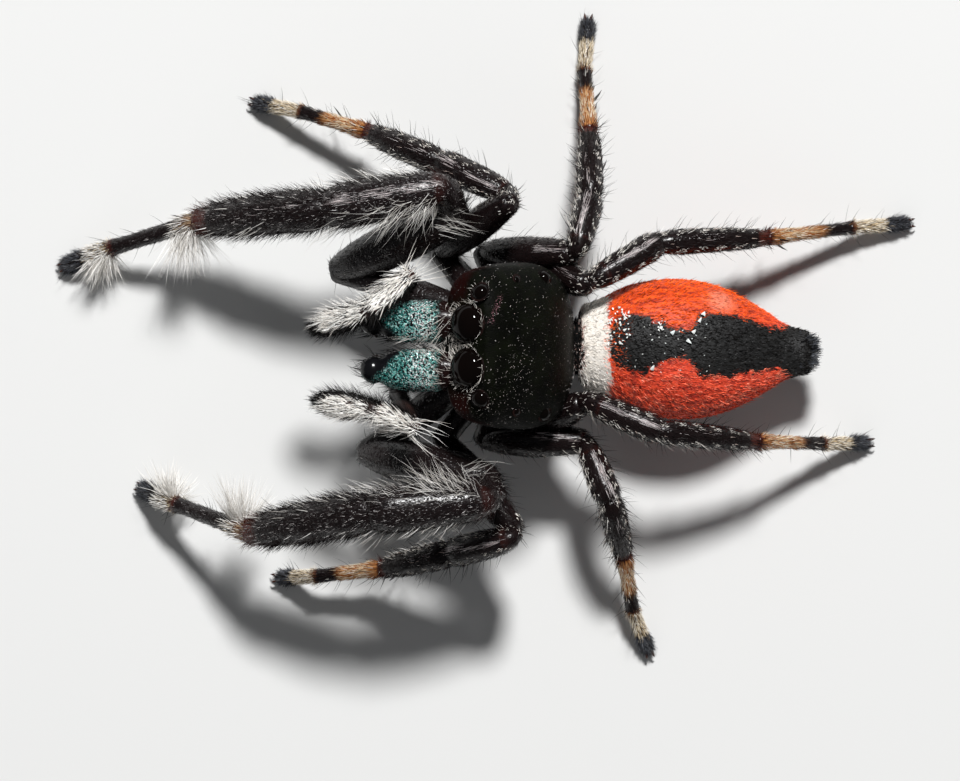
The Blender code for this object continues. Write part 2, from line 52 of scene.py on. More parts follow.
# forward, half width, top, bottom, drawn in by the depth of the short hair
carapaceRows = {
    "stations": (
        (0.05, 0.43, 0.34, 0.17), (0.30, 0.83, 0.60, 0.09), (0.80, 1.23, 1.10, 0.05),
        (1.40, 1.52, 1.56, 0.02), (2.00, 1.65, 1.83, 0.02), (2.60, 1.64, 1.91, 0.02),
        (3.10, 1.58, 1.90, 0.14), (3.50, 1.50, 1.82, 0.34), (3.66, 1.44, 1.74, 0.41),
        (3.76, 1.36, 1.66, 0.47),
    ),
    "squareness": 2.7, "rows": 90, "columns": 120, "noseDepth": 0.07, "rearDepth": 0.10,
}
sternumRows = {
    "stations": ((0.70, 0.28), (1.20, 0.50), (1.90, 0.53), (2.45, 0.38), (2.95, 0.22)),
    "top": -0.02, "bottom": -0.60, "squareness": 2.4, "rows": 30, "columns": 40, "endDepth": 0.1,
}
pedicelSize = {"radius": 0.24, "start": (0.45, 0.30), "end": 2.25}
# forward, up, left and radius
eyePlaces = {
    "main": (3.83, 1.18, 0.435, 0.395), "side": (3.77, 1.50, 1.05, 0.18),
    "small": (2.92, None, 1.30, 0.09), "rear": (2.08, None, 1.34, 0.15),
}
lensDepth = {"main": 0.64, "side": 0.85, "small": 0.8, "rear": 0.9}
# y and half width along the back, then the middle line's sideways place and height at both ends
abdomenRows = {
    "stations": (
        (1.95, 0.55), (2.04, 0.76), (2.20, 0.87), (2.40, 0.95), (2.90, 1.20), (3.40, 1.34), (3.90, 1.39),
        (4.40, 1.36), (4.90, 1.23), (5.40, 1.00), (5.80, 0.76), (6.08, 0.58), (6.25, 0.51), (6.40, 0.47),
        (6.52, 0.45),
    ),
    "depth": 0.86, "front": 2.02, "rear": 6.70, "middle": ((-0.89, 1.74), (-0.76, 1.40)),
    "squareness": 2.2, "endRoundness": (0.22, 0.35), "rows": 120, "columns": 110,
}
spinneretPlan = {
    "start": 6.44, "mark": 4.6,
    # across, up, length and radius
    "lobes": (
        (0.20, 0.12, 0.18, 0.19), (-0.20, 0.12, 0.18, 0.19), (0.18, -0.12, 0.16, 0.18),
        (-0.18, -0.12, 0.16, 0.18), (0.0, 0.02, 0.24, 0.17),
    ),
}
cheliceraSize = {
    "top": (3.62, 0.56), "tip": (4.493, -0.797), "spacing": 0.49, "radius": 0.415, "depth": 0.9,
    "shape": ((0.0, 0.86), (0.12, 0.97), (0.3, 1.02), (0.55, 1.0), (0.72, 0.92),
              (0.82, 0.79), (0.89, 0.66), (0.94, 0.61), (1.0, 0.67)),
}
# A fang's three places, forward and up from the jaw's tip and out from the midline
fangPlan = {
    "knuckle": (-0.10, -0.16, 0.60), "bend": (-0.18, -0.34, 0.46), "point": (-0.38, -0.32, 0.18),
    "radii": (0.13, 0.10, 0.03),
}
palpPlan = {
    "base": ((2.65, -0.50, 0.48), (3.50, -0.84, 0.56), (3.75, -0.95, 0.92)),
    "right": ((-2.25, -1.43, 4.30), (-1.61, -2.16, 4.45), (-1.24, -3.30, 3.60)),
    "left": ((0.74, -1.33, 4.30), (0.39, -2.06, 4.45), (0.21, -3.26, 3.60)),
    "baseRadii": (0.26, 0.25, 0.19),
    # shape, radius, rows and the roundness of both ends of femur, patella and brush
    "segments": (
        (((0.0, 0.8), (0.4, 1.0), (1.0, 0.9)), 0.18, 24, (0.35, 0.35)),
        (((0.0, 0.85), (0.3, 1.05), (0.8, 1.0), (1.0, 0.85)), 0.195, 24, (0.7, 0.5)),
        (((0.0, 0.85), (0.25, 1.05), (0.55, 1.2), (0.8, 0.95), (0.92, 0.6)), 0.195, 34, (0.5, 0.8)),
    ),
}
# Where each coxa leaves the front body: forward, up and sideways
coxaRoots = {1: (2.45, -0.42, 0.72), 2: (1.85, -0.42, 0.82), 3: (1.30, -0.42, 0.80), 4: (0.80, -0.40, 0.66)}
# Lengths of femur, knee bend, patella, tibia, metatarsus and tarsus
legLengths = {
    1: (2.90, 0.91, 2.24, 3.04, 2.15, 1.11), 2: (2.43, 0.56, 1.49, 1.91, 1.46, 0.95),
    3: (2.12, 0.27, 1.16, 1.67, 1.43, 0.92), 4: (2.24, 0.22, 1.56, 2.33, 1.96, 1.04),
}
# Radii of coxa, femur, patella, tibia, metatarsus and tarsus, under their hair
legRadii = {
    1: (0.32, 0.45, 0.45, 0.41, 0.165, 0.165), 2: (0.28, 0.33, 0.30, 0.265, 0.14, 0.12),
    3: (0.27, 0.33, 0.28, 0.25, 0.14, 0.115), 4: (0.27, 0.33, 0.28, 0.24, 0.13, 0.11),
}
# Each leg's size, its hip, the way its segments head from straight ahead, and its joints' heights
legStance = {
    "right_leg_1": (
        1.01, (-2.44, -2.81), (156, 57, -9.9, -4.8, -16.2, -20.5), (1.70, 3.14, 3.81, 3.48, 1.86, 0.77),
    ),
    "left_leg_1": (
        0.99, (1.25, -2.25), (167.5, 76, 5.4, 10.2, -19.7, -23.4), (1.74, 3.20, 4.00, 4.09, 2.41, 1.03),
    ),
    "right_leg_2": (
        1.04, (-2.78, -0.76), (144, 68, 25, 24, 17, 12), (1.62, 3.53, 2.99, 2.37, 1.23, 0.71),
    ),
    "left_leg_2": (
        0.96, (0.99, -0.76), (129, 71, 15, 13, 7, 3), (1.97, 2.64, 3.12, 2.27, 1.19, 0.80),
    ),
    "right_leg_3": (
        1.02, (-2.77, 0.10), (-179, 140, 104, 90, 86, 94), (1.26, 2.58, 2.78, 2.16, 1.19, 0.42),
    ),
    "left_leg_3": (
        0.98, (0.98, 0.10), (179, 135, 112, 105, 100, 111), (1.37, 2.14, 2.32, 2.55, 1.41, 0.61),
    ),
    "right_leg_4": (
        1.02, (-2.61, 0.97), (-156, 153, 150, 177, 173, 175), (0.93, 2.86, 2.73, 2.26, 1.40, 0.51),
    ),
    "left_leg_4": (
        0.98, (0.80, 0.97), (-153, -166, 157, 174, 178, -179), (0.97, 2.82, 2.97, 3.23, 2.11, 0.80),
    ),
}
toeHeight = 0.17
# Ahead, outward and up from the toe, then from the claw's root
clawPlan = {
    "root": (0.10, 0.05, 0.03), "bend": (0.10, 0.02, 0.01), "point": (0.15, 0.03, -0.07),
    "radii": (0.028, 0.022, 0.008),
}
# Thickness along each segment as shares of its radius: a wrist-like base, a swollen middle, a rim at the end
segmentShapes = {
    "coxa": ((0.0, 0.82), (0.35, 1.0), (0.7, 0.88), (1.0, 0.92)),
    "femur": ((0.0, 0.62), (0.12, 0.80), (0.35, 0.97), (0.55, 1.0), (0.8, 0.90), (0.95, 0.78), (1.0, 0.72)),
    "patella": ((0.0, 0.72), (0.05, 0.80), (0.3, 0.94), (0.65, 1.0), (0.92, 0.95), (1.0, 0.80)),
    "tibia": ((0.0, 0.78), (0.06, 0.92), (0.4, 1.0), (0.7, 0.92), (0.9, 0.74), (0.97, 0.62), (1.0, 0.60)),
    "metatarsus": ((0.0, 1.20), (0.10, 1.25), (0.25, 1.06), (0.6, 0.95), (0.92, 0.95), (1.0, 1.05)),
    "tarsus": ((0.0, 0.90), (0.2, 1.05), (0.6, 1.10), (1.0, 1.0)),
}
# Rows, columns, depth as a share of the width, how round both ends are, and how far the middle arches
segmentRings = {
    "coxa": (20, 28, 1.0, (0.6, 0.6), 0.0), "femur": (40, 36, 1.06, (0.6, 0.55), 0.12),
    "patella": (44, 36, 1.0, (0.6, 0.30), 0.05), "tibia": (44, 36, 1.0, (0.30, 0.45), 0.08),
    "metatarsus": (30, 24, 1.0, (0.4, 0.4), 0.0), "tarsus": (24, 24, 1.0, (0.4, 0.8), 0.0),
}
# The patella's thickness where it starts at the elbow, as a share of its radius
kneeStart = 0.64


def unit(vectors):
    return vectors / np.maximum(np.linalg.norm(vectors, axis=-1, keepdims=True), 1e-12)


def prosoma(forward, up, left=0.0):
    forward, up, left = np.broadcast_arrays(forward, up, left)
    cosine, sine = math.cos(frontBody["pitch"]), math.sin(frontBody["pitch"])
    y = frontBody["waist"][0] - forward * cosine + up * sine
    z = frontBody["waist"][1] + forward * sine + up * cosine
    return np.stack([frontBody["midline"] + left, y, z], -1).astype(float)


# How far the CAD moved the animal to centre its footprint
eyeCorners = [np.array(corner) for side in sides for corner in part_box(f"{side}_main_eye")]
centring = sum(eyeCorners) / len(eyeCorners) / millimetre - prosoma(*eyePlaces["main"][:2])


def smoothThrough(places, values, at):
    # A smooth curve through stations, whose slopes come from their neighbours
    places, values, at = np.asarray(places, float), np.asarray(values, float), np.asarray(at, float)
    values = values.reshape(len(places), -1)
    slopes = np.gradient(values, places, axis=0)
    low = np.clip(np.searchsorted(places, at, side="right") - 1, 0, len(places) - 2)
    gap = (places[low + 1] - places[low])[:, None]
    t = (at - places[low])[:, None] / gap
    start = (2 * t**3 - 3 * t**2 + 1) * values[low] + (t**3 - 2 * t**2 + t) * gap * slopes[low]
    return start + (3 * t**2 - 2 * t**3) * values[low + 1] + (t**3 - t**2) * gap * slopes[low + 1]


def squared(turns, squareness):
    across, up = np.cos(turns), np.sin(turns)
    power = 2 / squareness
    return np.sign(across) * abs(across) ** power, np.sign(up) * abs(up) ** power


capTurns = np.radians([80, 62, 42, 20])


def limbSurface(points, radii, segment, hand, rows=24, columns=28, depth=1.0, caps=(0.35, 0.35)):
    # A limb's rings, with rounded ends; each mark holds its place along, outward and upward
    points, radii = np.asarray(points, float), np.asarray(radii, float)
    lengths = np.concatenate([[0], np.cumsum(np.linalg.norm(np.diff(points, axis=0), axis=1))])
    at = np.linspace(0, lengths[-1], rows)
    centres = smoothThrough(lengths, points, at)
    thick = smoothThrough(lengths, radii, at)[:, 0]
    along = unit(np.gradient(centres, at, axis=0))
    front = caps[0] * thick[0] * np.sin(capTurns)
    rear = caps[1] * thick[-1] * np.sin(capTurns[::-1])
    poles = centres[0] - along[0] * caps[0] * thick[0], centres[-1] + along[-1] * caps[1] * thick[-1]
    centres = np.concatenate([centres[0] - along[0] * front[:, None], centres,
                              centres[-1] + along[-1] * rear[:, None]])
    thick = np.concatenate([thick[0] * np.cos(capTurns), thick, thick[-1] * np.cos(capTurns[::-1])])
    count = len(capTurns)
    along = np.concatenate([np.repeat(along[:1], count, 0), along, np.repeat(along[-1:], count, 0)])
    share = np.concatenate([np.zeros(count), at / lengths[-1], np.ones(count)])
    top = unit(np.array([0, 0, 1.0]) - along * along[:, 2:])
    side = np.cross(along, top) * hand
    turns = np.linspace(0, math.tau, columns, endpoint=False)
    wide = side[:, None] * np.cos(turns)[None, :, None]
    high = top[:, None] * np.sin(turns)[None, :, None] * depth
    ringPoints = centres[:, None] + (wide + high) * thick[:, None, None]
    marks = np.empty_like(ringPoints)
    marks[..., 0] = segment + share[:, None]
    marks[..., 1] = np.cos(turns)
    marks[..., 2] = np.sin(turns)
    return {"points": ringPoints, "marks": marks, "poles": poles}


def shaped(start, end, shape, radius, bow=0.0):
    shape = np.array(shape)
    share = shape[:, :1]
    points = start + (end - start) * share + np.array([0, 0, bow]) * 4 * share * (1 - share)
    return points, shape[:, 1] * radius


def makeObject(name, points, quads, triangles):
    mesh = bpy.data.meshes.new(name)
    corners = np.concatenate([np.ravel(quads), np.ravel(triangles)]).astype(np.int32)
    starts = np.concatenate([np.arange(len(quads)) * 4, len(quads) * 4 + np.arange(len(triangles)) * 3])
    mesh.vertices.add(len(points))
    mesh.vertices.foreach_set("co", ((points + centring) * millimetre).astype(np.float32).ravel())
    mesh.loops.add(len(corners))
    mesh.loops.foreach_set("vertex_index", corners)
    mesh.polygons.add(len(starts))
    mesh.polygons.foreach_set("loop_start", starts.astype(np.int32))
    mesh.update(calc_edges=True)
    piece = bpy.data.objects.new(name, mesh)
    bpy.context.scene.collection.objects.link(piece)
    return piece


def storeValues(mesh, label, kind, values):
    attribute = mesh.attributes.new(label, kind, "POINT")
    field = "vector" if kind == "FLOAT_VECTOR" else "value"
    attribute.data.foreach_set(field, np.asarray(values, np.float32).ravel())


def surfaceFaces(surface):
    # Rings joined by quads and closed by a fan at each pole, facing outward
    rows, columns = surface["points"].shape[:2]
    index = 1 + np.arange(rows * columns).reshape(rows, columns)
    beside = np.roll(index, -1, axis=1)
    quads = np.stack([index[:-1], beside[:-1], beside[1:], index[1:]], -1).reshape(-1, 4)
    last = rows * columns + 1
    first = np.stack([np.zeros(columns, int), beside[0], index[0]], -1)
    final = np.stack([np.full(columns, last), index[-1], beside[-1]], -1)
    triangles = np.concatenate([first, final])
    points = np.concatenate([[surface["poles"][0]], surface["points"].reshape(-1, 3), [surface["poles"][1]]])
    middle = points.mean(0)
    corner = points[quads] - middle
    volume = np.einsum("ij,ij->i", corner[:, 0], np.cross(corner[:, 1], corner[:, 2])).sum()
    if volume < 0:
        quads, triangles = quads[:, ::-1], triangles[:, ::-1]
    marks = surface["marks"].reshape(-1, 3)
    marks = np.concatenate([[marks[0] * (1, 0, 0)], marks, [marks[-1] * (1, 0, 0)]])
    return points, quads, triangles, marks


def skinPiece(name, surfaces, material):
    parts = [surfaceFaces(surface) for surface in surfaces]
    offsets = np.concatenate([[0], np.cumsum([len(part[0]) for part in parts])])[:-1]
    points = np.concatenate([part[0] for part in parts])
    quads = np.concatenate([part[1] + offset for part, offset in zip(parts, offsets)])
    triangles = np.concatenate([part[2] + offset for part, offset in zip(parts, offsets)])
    piece = makeObject(name, points, quads, triangles)
    storeValues(piece.data, "mark", "FLOAT_VECTOR", np.concatenate([part[3] for part in parts]))
    storeValues(piece.data, "tint", "FLOAT", np.zeros(len(points)))
    piece.data.shade_smooth()
    piece.data.materials.append(material)
    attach(piece, "root")
    return piece


def within(values, low, high, soft=0.02):
    rise = np.clip((values - low) / soft + 0.5, 0, 1)
    fall = np.clip((high - values) / soft + 0.5, 0, 1)
    return rise * fall


def turnOf(marks):
    # 0 outward, 90 on top, 180 inward, 270 beneath
    return np.degrees(np.arctan2(marks[..., 2], marks[..., 1])) % 360


def sampleSurface(surface, count, weight, draw):
    # Places scattered over the surface by area and weight, with the outward normal and the way along
    points, marks = surface["points"], surface["marks"]
    near, far = points[:-1], points[1:]
    nearSide, farSide = np.roll(near, -1, 1), np.roll(far, -1, 1)
    area = np.linalg.norm(np.cross(farSide - near, far - nearSide), axis=-1)
    cellMarks = (marks[:-1] + marks[1:] + np.roll(marks[:-1], -1, 1) + np.roll(marks[1:], -1, 1)) / 4
    chance = area * weight(cellMarks, (near + farSide) / 2)
    if chance.sum() <= 0:
        return None
    picked = draw.choice(chance.size, count, p=(chance / chance.sum()).ravel())
    row, column = np.unravel_index(picked, chance.shape)
    f, g = draw.random(count)[:, None], draw.random(count)[:, None]

    def blend(corners):
        low = corners[row, column] * (1 - g) + np.roll(corners, -1, 1)[row, column] * g
        high = corners[row + 1, column] * (1 - g) + np.roll(corners, -1, 1)[row + 1, column] * g
        return low * (1 - f) + high * f

    along = unit(far[row, column] - near[row, column])
    across = unit(nearSide[row, column] - near[row, column])
    normal = unit(np.cross(along, across))
    outward = near[row, column] - near.mean(1)[row]
    normal *= np.sign((normal * outward).sum(-1, keepdims=True))
    place = np.concatenate([(row[:, None] + f) / chance.shape[0], (column[:, None] + g) / chance.shape[1]], 1)
    return {"point": blend(points), "normal": normal, "along": along, "mark": blend(marks), "place": place}


def growHair(spots, style, draw):
    # Strands from their roots: each leans along the limb, sways a little and bends back toward the skin
    count = len(spots["point"])

    def spread(name, default=0.0):
        return draw.uniform(-1, 1, (count, 1)) * style.get(name, default)

    sway = np.radians(style.get("lean", 0) + spread("sway", 12))
    rise = np.radians(style["rise"] + spread("riseSpread", 8))
    across = np.cross(spots["normal"], spots["along"])
    flat = (spots["along"] * np.cos(sway) + across * np.sin(sway)) * style.get("heading", 1)
    direction = flat * np.cos(rise) + spots["normal"] * np.sin(rise)
    bend = flat * style.get("comb", 0.3) - spots["normal"] * style.get("droop", 0.2)
    sag = np.array([0, 0, -style.get("sag", 0.0)])
    bend = bend + draw.normal(0, style.get("wave", 0.05), (count, 3)) + sag
    length = style["length"] * (1 + spread("lengthSpread", 0.3))
    return {
        "root": spots["point"] - spots["normal"] * style.get("sunk", 0.02), "direction": direction,
        "bend": bend, "length": length, "width": style["width"] * (1 + spread("widthSpread", 0.25)),
        "mark": spots["mark"], "tint": draw.random(count), "place": spots["place"],
    }


# Where the rings of a short strand lie along it
shortStrand = (0.0, 0.5)


def coatPiece(name, batches, material, shares=(0.0, 0.35, 0.7), flatness=0.6):
    # Three-sided strands that taper to a point, all in one mesh
    hair = {key: np.concatenate([batch[key] for batch in batches]) for key in batches[0]}
    count, rings = len(hair["root"]), len(shares)
    steady = hair["bend"] + np.roll(hair["direction"], 1, axis=1) * 1e-3
    flat = unit(np.cross(hair["direction"], steady))
    columns = []
    for share in shares:
        centre = hair["root"] + (hair["direction"] * share + hair["bend"] * share**2 / 2) * hair["length"]
        deep = np.cross(unit(hair["direction"] + hair["bend"] * share), flat)
        size = hair["width"] / 2 * (1 - share**1.6 * 0.9)
        for corner in (90, 210, 330):
            turn = math.radians(corner)
            offset = flat * math.cos(turn) + deep * math.sin(turn) * flatness
            columns.append(centre + offset * size)
    columns.append(hair["root"] + (hair["direction"] + hair["bend"] / 2) * hair["length"])
    points = np.stack(columns, 1)
    points[..., 2] = np.maximum(points[..., 2], 0.012)
    faces = [(0, 2, 1)]
    for ring in range(rings - 1):
        low = ring * 3
        for corner in range(3):
            following = (corner + 1) % 3
            faces.append((low + corner, low + following, low + 3 + following))
            faces.append((low + corner, low + 3 + following, low + 3 + corner))
    low = (rings - 1) * 3
    faces += [(low + corner, low + (corner + 1) % 3, rings * 3) for corner in range(3)]
    each = rings * 3 + 1
    triangles = (np.array(faces)[None] + (np.arange(count) * each)[:, None, None]).reshape(-1, 3)
    piece = makeObject(name, points.reshape(-1, 3), np.empty((0, 4)), triangles)
    mesh = piece.data
    storeValues(mesh, "mark", "FLOAT_VECTOR", np.repeat(hair["mark"], each, 0))
    storeValues(mesh, "tint", "FLOAT", np.repeat(hair["tint"], each))
    reach = np.array([share for share in shares for corner in range(3)] + [1.0])
    storeValues(mesh, "reach", "FLOAT", np.tile(reach, count))
    patch = np.stack([np.array([0, 0.5, 1] * rings + [0.5]), reach], -1) - 0.5
    corners = np.repeat(hair["place"], each, 0) * 0.99 + 0.005 + np.tile(patch, (count, 1)) * 0.003
    unwrap = mesh.uv_layers.new(name="OFBake")
    unwrap.data.foreach_set("uv", corners[triangles.ravel()].astype(np.float32).ravel())
    mesh.shade_flat()
    mesh.materials.append(material)
    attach(piece, "root")
    print(name, count, "strands", len(triangles), "triangles")
    return piece


def coatFrom(name, surfaces, rules, material, seed, **shape):
    # Each rule scatters its strands over each surface that its weight reaches, in that surface's own strip
    draw = np.random.default_rng(seed)
    batches = []
    for number, surface in enumerate(surfaces):
        for rule in rules:
            count = rule["count"] if len(surfaces) == 1 else rule["count"](surface)
            if count < 1:
                continue
            spots = sampleSurface(surface, int(count), rule["weight"], draw)
            if spots is not None:
                spots["place"] = (spots["place"] + (0, number)) / (1, len(surfaces))
                batches.append(growHair(spots, rule, draw))
    return coatPiece(name, batches, material, **shape)


def segmentOf(surface):
    return int(surface["marks"][len(surface["marks"]) // 2, 0, 0])


def onSegments(counts):
    return lambda surface: counts.get(segmentOf(surface), 0)


def aroundTurn(middle, spread, soft=20.0):
    # A weight for marks within so many degrees of a turn
    def weight(marks):
        away = abs((turnOf(marks) - middle + 180) % 360 - 180)
        return np.clip((spread - away) / soft + 0.5, 0, 1)
    return weight


def rowWeight(low, high, middle, spread):
    turnWeight = aroundTurn(middle, spread)
    return lambda marks, points: within(marks[..., 0], low, high) * turnWeight(marks)


everywhere = {"weight": lambda marks, points: 1.0 + 0 * marks[..., 0]}


# Shader helpers: a node with its inputs set or linked, and small sums
def feed(tree, socket, value):
    if isinstance(value, bpy.types.NodeSocket):
        tree.links.new(value, socket)
    elif isinstance(value, tuple) and socket.type == "RGBA":
        socket.default_value = (*value[:3], 1.0)
    else:
        socket.default_value = value


def addNode(tree, kind, links=None, **settings):
    node = tree.nodes.new(kind)
    for key, value in settings.items():
        setattr(node, key, value)
    for key, value in (links or {}).items():
        feed(tree, node.inputs[key], value)
    return node


def calc(tree, operation, first, second=0.0, third=0.0):
    return addNode(tree, "ShaderNodeMath", {0: first, 1: second, 2: third}, operation=operation).outputs[0]


def product(tree, first, *others):
    for other in others:
        first = calc(tree, "MULTIPLY", first, other)
    return first


def total(tree, first, *others):
    for other in others:
        first = calc(tree, "ADD", first, other)
    return first


def centred(tree, value, size):
    # A value from 0 to 1 spread evenly about zero
    return calc(tree, "MULTIPLY_ADD", value, size, -size / 2)


def smoothStep(tree, value, low, high):
    return addNode(tree, "ShaderNodeMapRange", {"Value": value, "From Min": low, "From Max": high},
                   interpolation_type="SMOOTHSTEP").outputs[0]


def mixColour(tree, mask, first, second, blend="MIX"):
    # The mixing node has sockets for each kind of value; 6 and 7 are its colours
    links = {0: mask, 6: first, 7: second}
    return addNode(tree, "ShaderNodeMix", links, data_type="RGBA", blend_type=blend).outputs[2]


def noise(tree, vector, scale, detail=2.0, rough=0.5):
    return addNode(tree, "ShaderNodeTexNoise", {"Vector": vector, "Scale": scale, "Detail": detail,
                                                "Roughness": rough}).outputs["Fac"]


def mosaic(tree, vector, scale):
    return addNode(tree, "ShaderNodeTexVoronoi", {"Vector": vector, "Scale": scale}).outputs


def curve(tree, value, stops, length=1.0):
    # A ramp whose stops are places along a length
    if length != 1.0:
        value = calc(tree, "DIVIDE", value, length)
    ramp = addNode(tree, "ShaderNodeValToRGB", {"Fac": value})
    elements = ramp.color_ramp.elements
    while len(elements) < len(stops):
        elements.new(0.5)
    for element, (place, level) in zip(elements, stops):
        element.position = place / length
        element.color = (level, level, level, 1) if isinstance(level, float) else (*level, 1)
    return ramp.outputs["Color"]


def newGroup(name, inputs, outputs):
    tree = bpy.data.node_groups.new(name, "ShaderNodeTree")
    for label, kind, value in inputs:
        socket = tree.interface.new_socket(label, in_out="INPUT", socket_type=kind)
        if value is not None:
            socket.default_value = value
    for label, kind in outputs:
        tree.interface.new_socket(label, in_out="OUTPUT", socket_type=kind)
    return tree, tree.nodes.new("NodeGroupInput").outputs, tree.nodes.new("NodeGroupOutput").inputs


# The abdomen's markings, in millimetres from its front, sideways from its middle and up
abdomenLook = {
    "stripeLength": 5.0,
    "stripe": (
        (0.49, 0.0), (0.59, 0.26), (0.75, 0.50), (1.25, 0.58), (1.425, 0.42), (1.86, 0.28), (2.15, 0.28),
        (2.275, 0.44), (2.35, 0.62), (2.95, 0.60), (3.60, 0.46), (4.00, 0.40), (4.175, 0.55), (4.35, 1.0),
    ),
    "stripeShift": 0.08, "stripeEdge": (-0.03, 0.03), "belly": (-0.45, -0.65), "tail": (4.12, 4.25),
    "mixedShare": 0.60, "mixedReach": (0.98, 0.66),
    "band": (0.57, 0.50), "frontShadeEdge": (-0.04, 0.03), "bandLow": (-0.75, -0.45), "bandStrands": 0.10,
    # scale, detail and size of the unevenness of every edge, and what each strand adds to it
    "ragged": ((9.0, 3.0, 0.32), (2.6, 1.0, 0.20)), "raggedStrands": 0.06,
    "streakScale": (1.6, 9.0, 9.0), "litToShadedTurn": (-0.10, 0.50),
    # the flanks' reds, painted light: lighter on the right side, which faces the key light, deeper on the
    # left
    "litSideRed": (
        (0.05, (0.34, 0.016, 0.003)), (0.30, (0.74, 0.070, 0.006)), (0.70, (0.92, 0.130, 0.009)),
        (1.0, (0.95, 0.21, 0.025)),
    ),
    "deep": (
        (0.05, (0.40, 0.022, 0.012)), (0.40, (0.86, 0.080, 0.030)), (0.80, (1.00, 0.150, 0.065)),
        (1.0, (1.0, 0.42, 0.32)),
    ),
    # pink painted glints on the flanks' scales
    "pink": (0.92, 0.32, 0.20), "pinkDepth": 0.6, "pinkGlintGrain": (0.60, 0.74), "pinkSide": (-0.3, 0.4),
    "pinkPlace": (2.80, -1.02, 0.72), "pinkReach": (0.42, 0.12),
    "shade": (0.10, 0.006, 0.004), "shadeDepth": 0.85,
    "black": ((0.0035, 0.0035, 0.0035), (0.0125, 0.011, 0.010)),
    "cream": ((0.78, 0.72, 0.64), (1.0, 0.97, 0.93)),
}


def buildAbdomenPattern():
    # A cream band in front, orange-red flanks and a black toothed stripe
    look = abdomenLook
    tree, given, out = newGroup(
        "abdomenPattern", [("Mark", "NodeSocketVector", None), ("Tint", "NodeSocketFloat", 0.0)],
        [("Colour", "NodeSocketColor")])
    mark, tint = given["Mark"], given["Tint"]
    split = addNode(tree, "ShaderNodeSeparateXYZ", {0: mark}).outputs
    ragged = centred(tree, tint, look["raggedStrands"])
    for scale, detail, size in look["ragged"]:
        ragged = total(tree, ragged, centred(tree, noise(tree, mark, scale, detail), size))
    raggedPlace = total(tree, split["X"], ragged)

    # The stripe, with orange strands among the black behind the band
    sideways = calc(tree, "ABSOLUTE", total(tree, split["Y"], look["stripeShift"]))
    half = curve(tree, split["X"], look["stripe"], look["stripeLength"])
    gap = calc(tree, "SUBTRACT", half, total(tree, sideways, ragged))
    stripe = smoothStep(tree, gap, *look["stripeEdge"])
    mixedStrands = product(tree, calc(tree, "GREATER_THAN", tint, look["mixedShare"]),
                           smoothStep(tree, raggedPlace, *look["mixedReach"]))
    stripe = product(tree, stripe, calc(tree, "SUBTRACT", 1.0, mixedStrands))
    beneath = smoothStep(tree, total(tree, split["Z"], ragged), *look["belly"])
    dark = calc(tree, "MAXIMUM", stripe, beneath)
    dark = calc(tree, "MAXIMUM", dark, smoothStep(tree, raggedPlace, *look["tail"]))

    # The flanks, painted light: orange on the right side, which faces the key light, and deeper red on the
    # left side, turned from it, and behind
    lengthwise = addNode(tree, "ShaderNodeMapping", {"Vector": mark, "Scale": look["streakScale"]}).outputs[0]
    streak = noise(tree, lengthwise, 1.6, 3.0, 0.6)
    mottled = calc(tree, "MULTIPLY_ADD", tint, 0.5, calc(tree, "MULTIPLY_ADD", streak, 1.5, -0.5))
    leftward = calc(tree, "MULTIPLY_ADD", split["Y"], 0.55, -0.05)
    farther = calc(tree, "MULTIPLY_ADD", split["X"], 0.16, leftward)
    flank = mixColour(tree, smoothStep(tree, farther, *look["litToShadedTurn"]), curve(tree, mottled, look["litSideRed"]),
                      curve(tree, mottled, look["deep"]))
    # Pink grain on the left flank and a pink patch high on the right: painted glints on the red scales
    grain = total(tree, noise(tree, mark, 6.0, 3.0), product(tree, tint, 0.16))
    pinkGlintGrain = product(tree, smoothStep(tree, grain, *look["pinkGlintGrain"]),
                        smoothStep(tree, split["Y"], *look["pinkSide"]))
    away = addNode(tree, "ShaderNodeVectorMath", {0: mark, 1: look["pinkPlace"]}, operation="DISTANCE")
    pinkGlintPatch = smoothStep(tree, total(tree, away.outputs["Value"], ragged), *look["pinkReach"])
    pinkGlintMask = product(tree, calc(tree, "MAXIMUM", pinkGlintGrain, pinkGlintPatch), look["pinkDepth"])
    flank = mixColour(tree, pinkGlintMask, flank, look["pink"])
    shadeLimit = calc(tree, "MULTIPLY_ADD", split["X"], -0.07, 0.27)
    shaded = product(tree, calc(tree, "GREATER_THAN", tint, 0.001), calc(tree, "LESS_THAN", tint, shadeLimit))
    flank = mixColour(tree, product(tree, shaded, look["shadeDepth"]), flank, look["shade"])

    # The band in front, and black ahead of it: painted shade where the abdomen's front turns down toward the
    # waist
    bandEdge = total(tree, split["X"], calc(tree, "MULTIPLY_ADD", tint, look["bandStrands"], ragged))
    pastFrontShade = smoothStep(tree, bandEdge, *look["frontShadeEdge"])
    band = product(tree, smoothStep(tree, bandEdge, *look["band"]), pastFrontShade,
                   smoothStep(tree, split["Z"], *look["bandLow"]))
    dark = calc(tree, "MAXIMUM", dark, calc(tree, "SUBTRACT", 1.0, pastFrontShade))
    colour = mixColour(tree, dark, flank, mixColour(tree, tint, *look["black"]))
    colour = mixColour(tree, band, colour, mixColour(tree, mottled, *look["cream"]))
    tree.links.new(colour, out["Colour"])
    return tree


